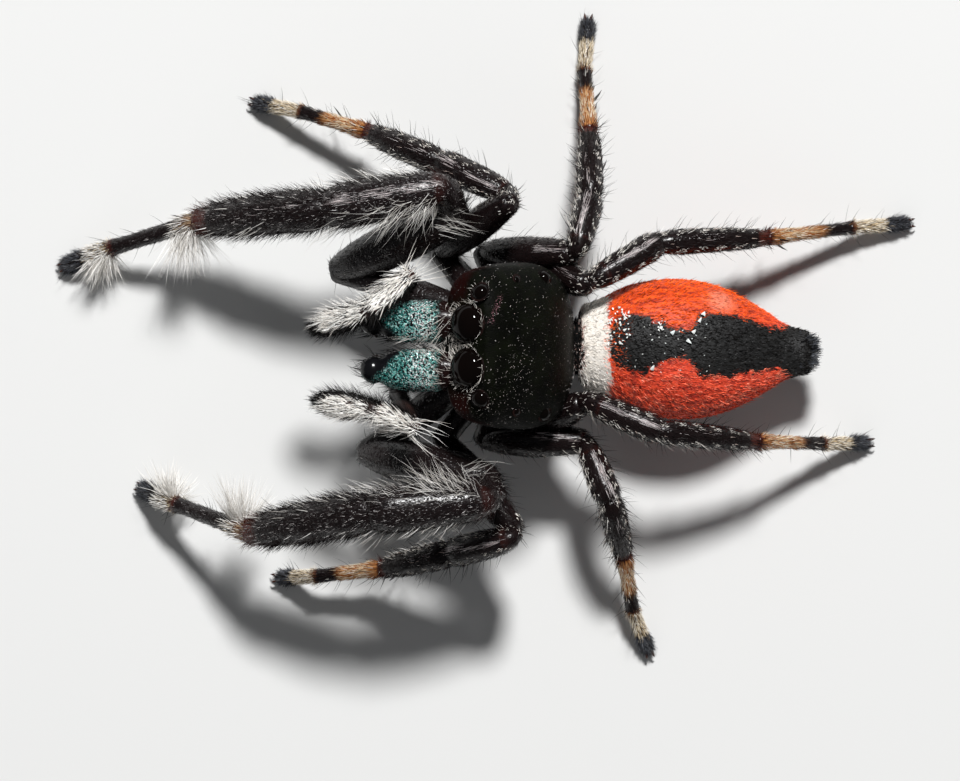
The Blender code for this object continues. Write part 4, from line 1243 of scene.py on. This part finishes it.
def makeLegs():
    made = {}
    for name in legStance:
        surfaces = legSurfaces(name)
        finish = finishes["frontLegSkin" if name.endswith("1") else "rearLegSkin"]
        side, _, pair = name.split("_")
        piece = skinPiece(f"{side}Leg{pair}Skin", surfaces, finish)
        shins = ("patella", "tibia") if pair == "1" else ("shin",)
        parts = ("coxa", "femur", *shins, "foot")
        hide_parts(*[f"{name}_{part}" for part in parts])
        made[name] = surfaces
    return made


carapace = makeFrontBody()
abdomen, spinnerets = makeAbdomen()
chelicerae = makeJaws()
palps = makePalps()
legs = makeLegs()
print("skins made")


# The abdomen's coat: short hair that lies toward the tail
abdomenHair = {**everywhere, "count": 48000, "length": 0.105, "width": 0.030, "rise": 20,
               "riseSpread": 12, "sway": 26, "comb": 0.1, "droop": 0.15}
piece = coatFrom("abdomenCoat", [abdomen], [abdomenHair], finishes["abdomenCoat"], 11, shares=(0.0,))
abdomenLong = {**everywhere, "count": 1200, "length": 0.17, "width": 0.016, "rise": 34,
               "riseSpread": 16, "sway": 24}
piece = coatFrom("abdomenLongHair", [abdomen], [abdomenLong], finishes["abdomenCoat"], 12)
# White scales beside the stripe and over the back, drawn near white so that they also stand for painted
# glints
fleckStyle = {"length": 0.048, "lengthSpread": 0.5, "width": 0.044, "widthSpread": 0.5, "rise": 8,
              "sunk": -0.05, "sway": 80}
# Where the large flecks lie: from the front and sideways
largeFlecks = ((2.42, -0.66), (2.32, -0.50), (2.17, -0.26), (2.06, -0.17), (1.79, -0.24), (1.41, 0.45))


def onPatch(front, rear, low, high, soft=0.05):
    return lambda marks, points: (within(marks[..., 0], front, rear, soft)
                                  * within(marks[..., 1], low, high, soft) * (marks[..., 2] > 0.3))


abdomenFlecks = [
    {**fleckStyle, "count": 46, "weight": onPatch(0.56, 0.96, -0.76, -0.06)},
    {**fleckStyle, "count": 9, "weight": onPatch(1.44, 1.64, -0.56, -0.36)},
    {**fleckStyle, "count": 44, "length": 0.024, "width": 0.020, "weight": onPatch(0.6, 2.6, -0.60, 0.50)},
    *[{**fleckStyle, "count": 1, "length": 0.095, "lengthSpread": 0.2, "width": 0.090, "widthSpread": 0.2,
       "weight": onPatch(x - 0.04, x + 0.04, y - 0.04, y + 0.04)} for x, y in largeFlecks],
]
piece = coatFrom("abdomenFlecks", [abdomen], abdomenFlecks, finishes["brightScale"], 13,
                 shares=(0.0, 0.3, 0.6, 0.85), flatness=0.3)
tailHair = {**everywhere, "count": lambda surface: 260, "length": 0.16, "width": 0.022, "rise": 30,
            "sway": 20}
piece = coatFrom("tailHair", spinnerets, [tailHair], finishes["greyHair"], 14)

# The carapace: short dark hair swept back over the roof, a pale fringe at its rear rim
carapaceHair = [
    {"count": 9000, "length": 0.10, "width": 0.011, "rise": 22, "heading": -1, "sway": 30,
     "weight": lambda marks, points: (marks[..., 0] < 3.86) * (0.3 + (marks[..., 2] > 0.5))},
]
piece = coatFrom("carapaceHair", [carapace], carapaceHair, finishes["blackHair"], 21, shares=shortStrand)
# Short strands on the roof coloured as painted glints, and a pale fringe of scales at the rear rim
carapaceScalesAndGlints = [
    {"count": 240, "length": 0.032, "width": 0.010, "rise": 12, "heading": -1, "sway": 60, "sunk": -0.01,
     "weight": lambda marks, points: (marks[..., 0] < 3.70) * (marks[..., 2] > 0.6)
     * (0.4 + within(marks[..., 0], 0.5, 1.4, 0.3) + within(marks[..., 0], 2.9, 3.7, 0.2))},
    {"count": 300, "length": 0.12, "width": 0.011, "rise": 14, "heading": -1, "sway": 25, "sunk": 0.0,
     "weight": lambda marks, points: within(marks[..., 0], 0.0, 0.50, 0.1) * (marks[..., 2] > 0.2)},
]
piece = coatFrom("carapaceScalesAndGlints", [carapace], carapaceScalesAndGlints, finishes["glintHair"], 22, shares=shortStrand)


def ringSpots(centre, axis, radius, count, draw, low=0.0, high=360.0):
    # Roots on a circle round an eye, with the way out from it as their normal
    axis = unit(np.asarray(axis, float))
    level = unit(np.cross((0, 0, 1.0), axis))
    upright = np.cross(axis, level)
    turns = np.radians(draw.uniform(low, high, count))[:, None]
    out = level * np.cos(turns) + upright * np.sin(turns)
    points = centre + out * radius * draw.uniform(0.97, 1.10, (count, 1))
    place = np.concatenate([draw.random((count, 1)) * 0.02 + 0.96, turns / math.tau], 1)
    return {"point": points, "normal": out, "along": np.broadcast_to(axis, points.shape), "place": place,
            "mark": np.zeros_like(points)}


faceHairStyles = {
    "main": {"length": 0.17, "width": 0.010, "rise": 40, "riseSpread": 20, "sway": 70, "comb": 0.2,
             "droop": 0.5},
    "side": {"length": 0.13, "width": 0.010, "rise": 50, "sway": 60, "droop": 0.6},
    "inner": {"length": 0.32, "width": 0.008, "rise": 26, "sway": 30, "comb": 0.5, "droop": 0.2},
    "upper": {"length": 0.36, "width": 0.008, "rise": 22, "riseSpread": 14, "sway": 24, "comb": 0.4},
    "clypeus": {"length": 0.28, "width": 0.010, "rise": 26, "sway": 45, "comb": 0.3, "droop": 0.2,
                "sag": 0.5},
}


def onClypeus(marks, points):
    # The edge of the face above the jaws, densest at its middle
    across = abs(marks[..., 1])
    edge = within(marks[..., 0], 3.74, 3.86, 0.04) * (marks[..., 2] < 0.88) * (across < 0.95)
    return edge * (0.25 + (across < 0.25))


def makeFaceHair():
    styles = faceHairStyles
    draw = np.random.default_rng(31)
    batches = []
    forward, up, left, radius = eyePlaces["main"]
    for side, sign in sides.items():
        centre = prosoma(forward - 0.02, up, sign * left)
        spots = ringSpots(centre, faceWay, radius * 1.03, 84, draw)
        batches.append(growHair(spots, styles["main"], draw))
        sideCentre = prosoma(*eyePlaces["side"][:2], sign * eyePlaces["side"][2])
        spots = ringSpots(sideCentre, sideEyeWay(sign), eyePlaces["side"][3] * 1.06, 20, draw)
        batches.append(growHair(spots, styles["side"], draw))
    for side, surface in chelicerae.items():
        spots = sampleSurface(surface, 20, rowWeight(0.0, 0.55, 170, 40), draw)
        batches.append(growHair(spots, styles["inner"], draw))
        spots = sampleSurface(surface, 40, rowWeight(0.0, 0.24, 100, 60), draw)
        batches.append(growHair(spots, {**styles["upper"], "lean": -36 * sides[side]}, draw))
    spots = sampleSurface(carapace, 84, onClypeus, draw)
    batches.append(growHair(spots, styles["clypeus"], draw))
    piece = coatPiece("faceHair", batches, finishes["creamHair"])


# Chelicerae: flat scales that catch the light, and thin bristles on the inner faces
def scalyPart(marks, points):
    # Farther down on the outer side
    return within(marks[..., 0] - 0.20 * marks[..., 1], -0.2, 0.78, 0.2) * (marks[..., 2] > -0.1)


jawScales = {"count": lambda surface: 2400, "length": 0.034, "width": 0.018, "rise": 14, "sway": 40,
             "sunk": 0.0, "weight": scalyPart}
piece = coatFrom("jawScales", list(chelicerae.values()), [jawScales], finishes["chelicera"], 41,
                 shares=(0.0, 0.6), flatness=0.3)
jawHair = {"count": lambda surface: 260, "length": 0.30, "width": 0.020, "rise": 34, "sway": 25,
           "weight": lambda marks, points: within(marks[..., 0], 0.1, 1.1, 0.1) * (marks[..., 2] < 0.5)}
piece = coatFrom("jawHair", list(chelicerae.values()), [jawHair], finishes["blackHair"], 42)


makeFaceHair()
palpSurfaceList = [surface for side in sides for surface in palps[side]]
palpWhite = [
    {"count": onSegments({2: 420}), "length": 0.21, "width": 0.034, "rise": 12, "riseSpread": 12, "sway": 24,
     "wave": 0.2, "weight": rowWeight(2.0, 2.83, 75, 62)},
    {"count": onSegments({3: 480}), "length": 0.21, "width": 0.034, "rise": 12, "riseSpread": 12, "sway": 24,
     "wave": 0.2, "weight": rowWeight(3.02, 3.84, 75, 58)},
    {"count": onSegments({2: 50, 3: 90}), "length": 0.34, "width": 0.012, "rise": 48, "riseSpread": 14,
     "sway": 24, "comb": 0.5, "wave": 0.12, "weight": rowWeight(2.1, 3.9, 20, 70)},
    {"count": onSegments({2: 15}), "length": 0.66, "width": 0.018, "rise": 30, "heading": -1, "sway": 30,
     "comb": 0.4, "droop": 0.4, "weight": rowWeight(2.02, 2.16, 85, 70)},
    {"count": onSegments({2: 60, 3: 60}), "length": 0.30, "width": 0.016, "rise": 44, "sway": 24, "comb": 0.5,
     "weight": rowWeight(2.1, 3.8, 5, 60)},
    {"count": onSegments({1: 36}), "length": 0.18, "width": 0.020, "rise": 24, "sway": 24,
     "weight": rowWeight(1.80, 2.0, 75, 60)},
]
piece = coatFrom("palpWhiteHair", palpSurfaceList, palpWhite, finishes["palpWhite"], 51)
palpBlack = [
    {"count": onSegments({0: 120, 1: 420, 2: 420, 3: 700}), "length": 0.22, "width": 0.018, "rise": 30,
     "sway": 20, "weight": rowWeight(0.0, 4.1, 270, 130)},
    {"count": onSegments({3: 260}), "length": 0.26, "width": 0.018, "rise": 30, "sway": 22,
     "weight": rowWeight(3.80, 4.1, 90, 190)},
    {"count": onSegments({2: 110, 3: 260}), "length": 0.34, "width": 0.014, "rise": 46, "sway": 20,
     "weight": rowWeight(2.0, 3.95, 205, 80)},
]
piece = coatFrom("palpBlackHair", palpSurfaceList, palpBlack, finishes["blackHair"], 52)
print("head and palps covered")

legPairs = {pair: [name for name in legStance if name.endswith(str(pair))] for pair in (1, 2, 3, 4)}
legRows = 11


def glossTurn(points):
    # Where round a leg the key light shines back: toward the light on legs that point ahead or behind
    heading = np.where(points[..., 1] < -0.3, 1, np.where(points[..., 1] > 1.0, -1, 0))
    return 90 - 16 * heading * np.where(points[..., 0] < frontBody["midline"], 1, -1)


def furrowed(bareness):
    # Hair in rows along the leg, parting beside the line on which the cuticle shines
    def weight(marks, points):
        rows = 0.4 + 0.6 * (np.cos(np.radians(turnOf(marks)) * legRows) > -0.2)
        rows = rows * (1 - within(marks[..., 0], 2.276, 2.300))
        shine = aroundTurn(glossTurn(points), 13, 8)(marks)
        return rows * (1 - bareness * shine * within(marks[..., 0], 2.25, 3.0, 0.2))
    return weight


for side, bareness, seed in (("right", 0.95, 134), ("left", 0.2, 168)):
    frontHair = [
        {"count": onSegments({0: 260, 1: 1900, 2: 2100, 3: 2900, 4: 1100, 5: 1300}), "length": 0.14,
         "width": 0.012, "rise": 24, "sway": 14, "weight": furrowed(bareness)},
        {"count": onSegments({2: 600, 3: 1100}), "length": 0.30, "width": 0.014, "rise": 38, "riseSpread": 14,
         "sway": 16, "weight": lambda marks, points: 0.3 + (abs(marks[..., 1]) > 0.6)},
    ]
    piece = coatFrom(f"{side}LegCoat1", legs[f"{side}_leg_1"], frontHair, finishes["frontLegCoat"], seed,
                     shares=shortStrand)
glints = [
    {**everywhere, "count": onSegments({1: 160, 2: 1200, 3: 1500, 4: 80}), "length": 0.11, "width": 0.009,
     "rise": 26, "sway": 22},
]
legPairSurfaces = {pair: [surface for name in names for surface in legs[name]]
                   for pair, names in legPairs.items()}
piece = coatFrom("frontLegGlints", legPairSurfaces[1], glints, finishes["glintHair"], 75, shares=shortStrand)


def shinyLine(marks, points):
    # The line that shines on the femur of the last pair and on each patella and tibia
    line = aroundTurn(glossTurn(points), 6)(marks)
    along = marks[..., 0]
    femur = within(along, 1.3, 1.9) * (points[..., 1] > 1.0)
    return line * (femur + within(along, 2.25, 2.9) + 0.6 * within(along, 3.1, 3.5))


def fringed(marks, points):
    # The rear side of pair 3, and the inner side of the others
    return within(marks[..., 0], 1.1, 3.9) * aroundTurn(180, 40)(marks)


sheenStyle = {"length": 0.24, "lengthSpread": 0.4, "width": 0.008, "rise": 4, "riseSpread": 2, "sway": 4,
              "sunk": 0.002, "weight": shinyLine}
frontSheen = [{**sheenStyle, "count": onSegments({2: 190, 3: 26})}]
piece = coatFrom("frontLegSheen", legs["right_leg_1"], frontSheen, finishes["sheenHair"], 78,
                 shares=shortStrand)
rearStyle = {"length": 0.14, "width": 0.015, "rise": 24, "sway": 14, "weight": furrowed(0.9)}
legHair = {
    2: [{**rearStyle, "count": onSegments({0: 200, 1: 1300, 2: 1200, 3: 1500, 4: 1100, 5: 1100})}],
    3: [{**rearStyle, "count": onSegments({0: 200, 1: 1200, 2: 1000, 3: 1400, 4: 1100, 5: 1000})}],
    4: [{**rearStyle, "count": onSegments({0: 200, 1: 1300, 2: 1200, 3: 1600, 4: 1200, 5: 1000})}],
}
for pair, rules in legHair.items():
    piece = coatFrom(f"legCoat{pair}", legPairSurfaces[pair], rules, finishes["rearLegCoat"], 60 + pair,
                     shares=shortStrand)

frontWhite = [
    {"count": onSegments({2: 112}), "length": 0.43, "lengthSpread": 0.4, "width": 0.011, "rise": 56,
     "riseSpread": 14, "sway": 34, "comb": 0.7, "droop": 0.0, "sag": 0.5, "wave": 0.75,
     "weight": rowWeight(2.31, 2.64, 140, 30)},
    {"count": onSegments({2: 44}), "length": 0.34, "width": 0.010, "rise": 44, "riseSpread": 16, "sway": 24,
     "comb": 0.5, "wave": 0.30, "weight": rowWeight(2.60, 2.96, 160, 45)},
    {"count": onSegments({2: 26}), "length": 0.56, "width": 0.013, "rise": 62, "sway": 20, "comb": 0.4,
     "sag": 0.5, "wave": 0.3, "weight": rowWeight(2.93, 3.01, 182, 24)},
    {"count": onSegments({2: 16}), "length": 0.50, "width": 0.014, "rise": 62, "sway": 20, "comb": 0.4,
     "sag": 0.3, "wave": 0.2, "weight": rowWeight(2.91, 3.01, 0, 28)},
    {"count": onSegments({2: 46}), "length": 0.38, "width": 0.015, "rise": 48, "riseSpread": 14, "sway": 16,
     "comb": 0.5, "wave": 0.10, "weight": rowWeight(2.38, 2.90, 8, 26)},
    {"count": onSegments({3: 44}), "length": 0.34, "width": 0.016, "rise": 38, "sway": 14,
     "weight": rowWeight(3.03, 3.9, 172, 50)},
    {"count": onSegments({3: 26}), "length": 0.26, "width": 0.016, "rise": 34, "sway": 14,
     "weight": rowWeight(3.05, 3.9, 10, 50)},
    {"count": onSegments({4: 300}), "length": 0.84, "lengthSpread": 0.35, "width": 0.012, "rise": 84,
     "riseSpread": 22, "sway": 34, "comb": 0.1, "droop": 0.05, "wave": 0.08,
     "weight": rowWeight(4.03, 4.30, 185, 62)},
    {"count": onSegments({4: 110}), "length": 0.20, "width": 0.020, "rise": 34, "riseSpread": 12, "sway": 20,
     "weight": rowWeight(4.04, 4.28, 110, 120)},
    {"count": onSegments({5: 280}), "length": 0.58, "lengthSpread": 0.4, "width": 0.013, "rise": 70,
     "riseSpread": 26, "sway": 30, "comb": 0.2, "wave": 0.08, "weight": rowWeight(5.02, 5.48, 185, 70)},
    {"count": onSegments({5: 160}), "length": 0.20, "width": 0.020, "rise": 34, "riseSpread": 16, "sway": 24,
     "weight": rowWeight(5.02, 5.45, 90, 100)},
]
piece = coatFrom("frontLegWhiteHair", legPairSurfaces[1], frontWhite, finishes["whiteHair"], 71,
                 shares=(0.0, 0.25, 0.5, 0.75))
for side, sign in sides.items():
    elbowFan = [{"count": onSegments({1: 50}), "length": 0.56, "lengthSpread": 0.4, "width": 0.011,
                 "rise": 24, "riseSpread": 14, "lean": 30 * sign, "sway": 16, "comb": 0.5, "sag": 0.2,
                 "wave": 0.6, "weight": rowWeight(1.82, 1.98, 120, 60)}]
    piece = coatFrom(f"{side}ElbowFan", legs[f"{side}_leg_1"], elbowFan, finishes["whiteHair"], 85 + sign)


def clumped(middle, spread):
    # Scales gathered in clumps along a line of the patella and tibia
    line = rowWeight(2.15, 3.85, middle, spread)
    return lambda marks, points: line(marks, points) * (np.sin(marks[..., 0] * 37 + marks[..., 1] * 5) > 0.1)


rearSurfaces = [surface for pair in (2, 3, 4) for surface in legPairSurfaces[pair]]
rearScales = [
    {"count": onSegments({2: 80, 3: 110}), "length": 0.048, "width": 0.013, "rise": 14, "sway": 26,
     "sunk": 0.0, "weight": clumped(40, 16)},
    {"count": onSegments({2: 80, 3: 110}), "length": 0.048, "width": 0.013, "rise": 14, "sway": 26,
     "sunk": 0.0, "weight": clumped(146, 16)},
    {"count": onSegments({1: 60, 2: 60, 3: 46}), "length": 0.15, "width": 0.010, "rise": 34, "sway": 22,
     "weight": fringed},
    {"count": onSegments({1: 34, 2: 38}), "length": 0.065, "width": 0.018, "rise": 24, "sway": 40,
     "sunk": 0.0, "weight": rowWeight(1.92, 2.20, 90, 130)},
    {"count": onSegments({1: 10, 2: 14, 3: 18}), "length": 0.26, "width": 0.012, "rise": 44, "sway": 20,
     "weight": rowWeight(1.2, 3.9, 180, 60)},
    {"count": onSegments({4: 40, 5: 60}), "length": 0.16, "width": 0.012, "rise": 34, "riseSpread": 16,
     "sway": 20, "weight": rowWeight(4.0, 5.6, 90, 190)},
]
piece = coatFrom("rearLegScales", rearSurfaces, rearScales, finishes["creamHair"], 76, shares=shortStrand)
rearSheen = [{**sheenStyle, "count": onSegments({1: 46, 2: 80, 3: 12})}]
piece = coatFrom("rearLegSheen", rearSurfaces, rearSheen, finishes["sheenHair"], 77, shares=shortStrand)
bristles = [
    {**everywhere, "count": onSegments({1: 40, 2: 60, 3: 90, 4: 30, 5: 8}), "length": 0.36, "width": 0.014,
     "rise": 58, "riseSpread": 18, "sway": 24, "comb": 0.35, "droop": 0.1},
]
surfaces = [surface for name in legStance for surface in legs[name]]
piece = coatFrom("legBristles", surfaces, bristles, finishes["blackHair"], 72)
footTufts = [
    {"count": onSegments({5: 720}), "length": 0.16, "width": 0.015, "rise": 36, "riseSpread": 24, "sway": 40,
     "weight": rowWeight(5.62, 6.2, 270, 200)},
]
piece = coatFrom("footTufts", surfaces, footTufts, finishes["greyHair"], 73, shares=shortStrand)
spines = [
    {"count": onSegments({3: 6, 4: 4}), "length": 0.50, "width": 0.075, "rise": 42, "riseSpread": 10,
     "sway": 6, "sunk": 0.05, "weight": rowWeight(3.2, 4.7, 270, 55)},
]
piece = coatFrom("legSpines", surfaces, spines, finishes["shell"], 74, flatness=1.0)


def clawPlace(part, start, ahead, outward):
    along, out, up = clawPlan[part]
    return start + ahead * along + outward * out + np.array([0, 0, up])


def makeClaws():
    # Two small hooked claws at the tip of each foot
    surfaces = []
    for name in legStance:
        heel, toe = legJoints(name)[-2:]
        ahead = unit((toe - heel) * (1, 1, 0))
        side = np.cross(ahead, (0, 0, 1.0))
        for sign in (-1, 1):
            root = clawPlace("root", toe, ahead, side * sign)
            tips = [clawPlace(part, root, ahead, side * sign) for part in ("bend", "point")]
            surfaces.append(limbSurface([root, *tips], clawPlan["radii"], 0, 1, 10, 10))
    piece = skinPiece("claws", surfaces, finishes["fang"])


makeClaws()
print("legs covered")

# Stage: a pale floor, a soft key from the animal's right, a weaker fill and an even sky
stageLook = {
    "floorSize": 3.0, "floorColour": (0.74, 0.74, 0.73), "floorShade": 0.97,
    "skyColour": (0.90, 0.94, 1.0, 1.0), "skyStrength": 0.075,
}
lightPlan = {
    "key": {"place": (-0.17, 0.03, 0.25), "size": 0.05, "power": 1.22},
    "fill": {"place": (0.30, -0.16, 0.26), "size": 0.40, "power": 0.17},
}
cameraPlan = {"height": 200.0, "level": 2.5, "pixelsPerMillimetre": 50.0, "imageWidth": 960, "sensor": 36.0}


def makeStage():
    bpy.ops.mesh.primitive_plane_add(size=stageLook["floorSize"])
    floor = bpy.context.object
    floor.name = "floor"
    material, tree, shader = newMaterial("floorPaint", {"Roughness": 0.75})
    cloudy = noise(tree, inMillimetres(tree), 0.05, 3.0)
    low = tuple(level * stageLook["floorShade"] for level in stageLook["floorColour"])
    tree.links.new(mixColour(tree, cloudy, low, stageLook["floorColour"]), shader.inputs["Base Color"])
    floor.data.materials.append(material)
    for name, plan in lightPlan.items():
        data = bpy.data.lights.new(name, "AREA")
        data.shape = "DISK"
        data.size = plan["size"]
        data.energy = plan["power"]
        light = bpy.data.objects.new(name, data)
        light.location = plan["place"]
        light.visible_glossy = name == "key"
        light.rotation_euler = (-light.location).to_track_quat("-Z", "Y").to_euler()
        bpy.context.scene.collection.objects.link(light)
    world = bpy.data.worlds.new("sky")
    world.use_nodes = True
    background = world.node_tree.nodes["Background"]
    background.inputs["Color"].default_value = stageLook["skyColour"]
    background.inputs["Strength"].default_value = stageLook["skyStrength"]
    bpy.context.scene.world = world
    bpy.context.scene.view_settings.view_transform = "Standard"


def makeCamera():
    plan = cameraPlan
    data = bpy.data.cameras.new("camera")
    span = plan["imageWidth"] / plan["pixelsPerMillimetre"]
    data.sensor_width = plan["sensor"]
    data.lens = plan["sensor"] * (plan["height"] - plan["level"]) / span
    data.clip_start = 0.005
    data.clip_end = 20.0
    camera = bpy.data.objects.new("camera", data)
    camera.location = (centring[0] * millimetre, centring[1] * millimetre, plan["height"] * millimetre)
    camera.rotation_euler = (0, 0, math.radians(90))
    bpy.context.scene.collection.objects.link(camera)
    bpy.context.scene.camera = camera


makeStage()
makeCamera()
print("stage set")
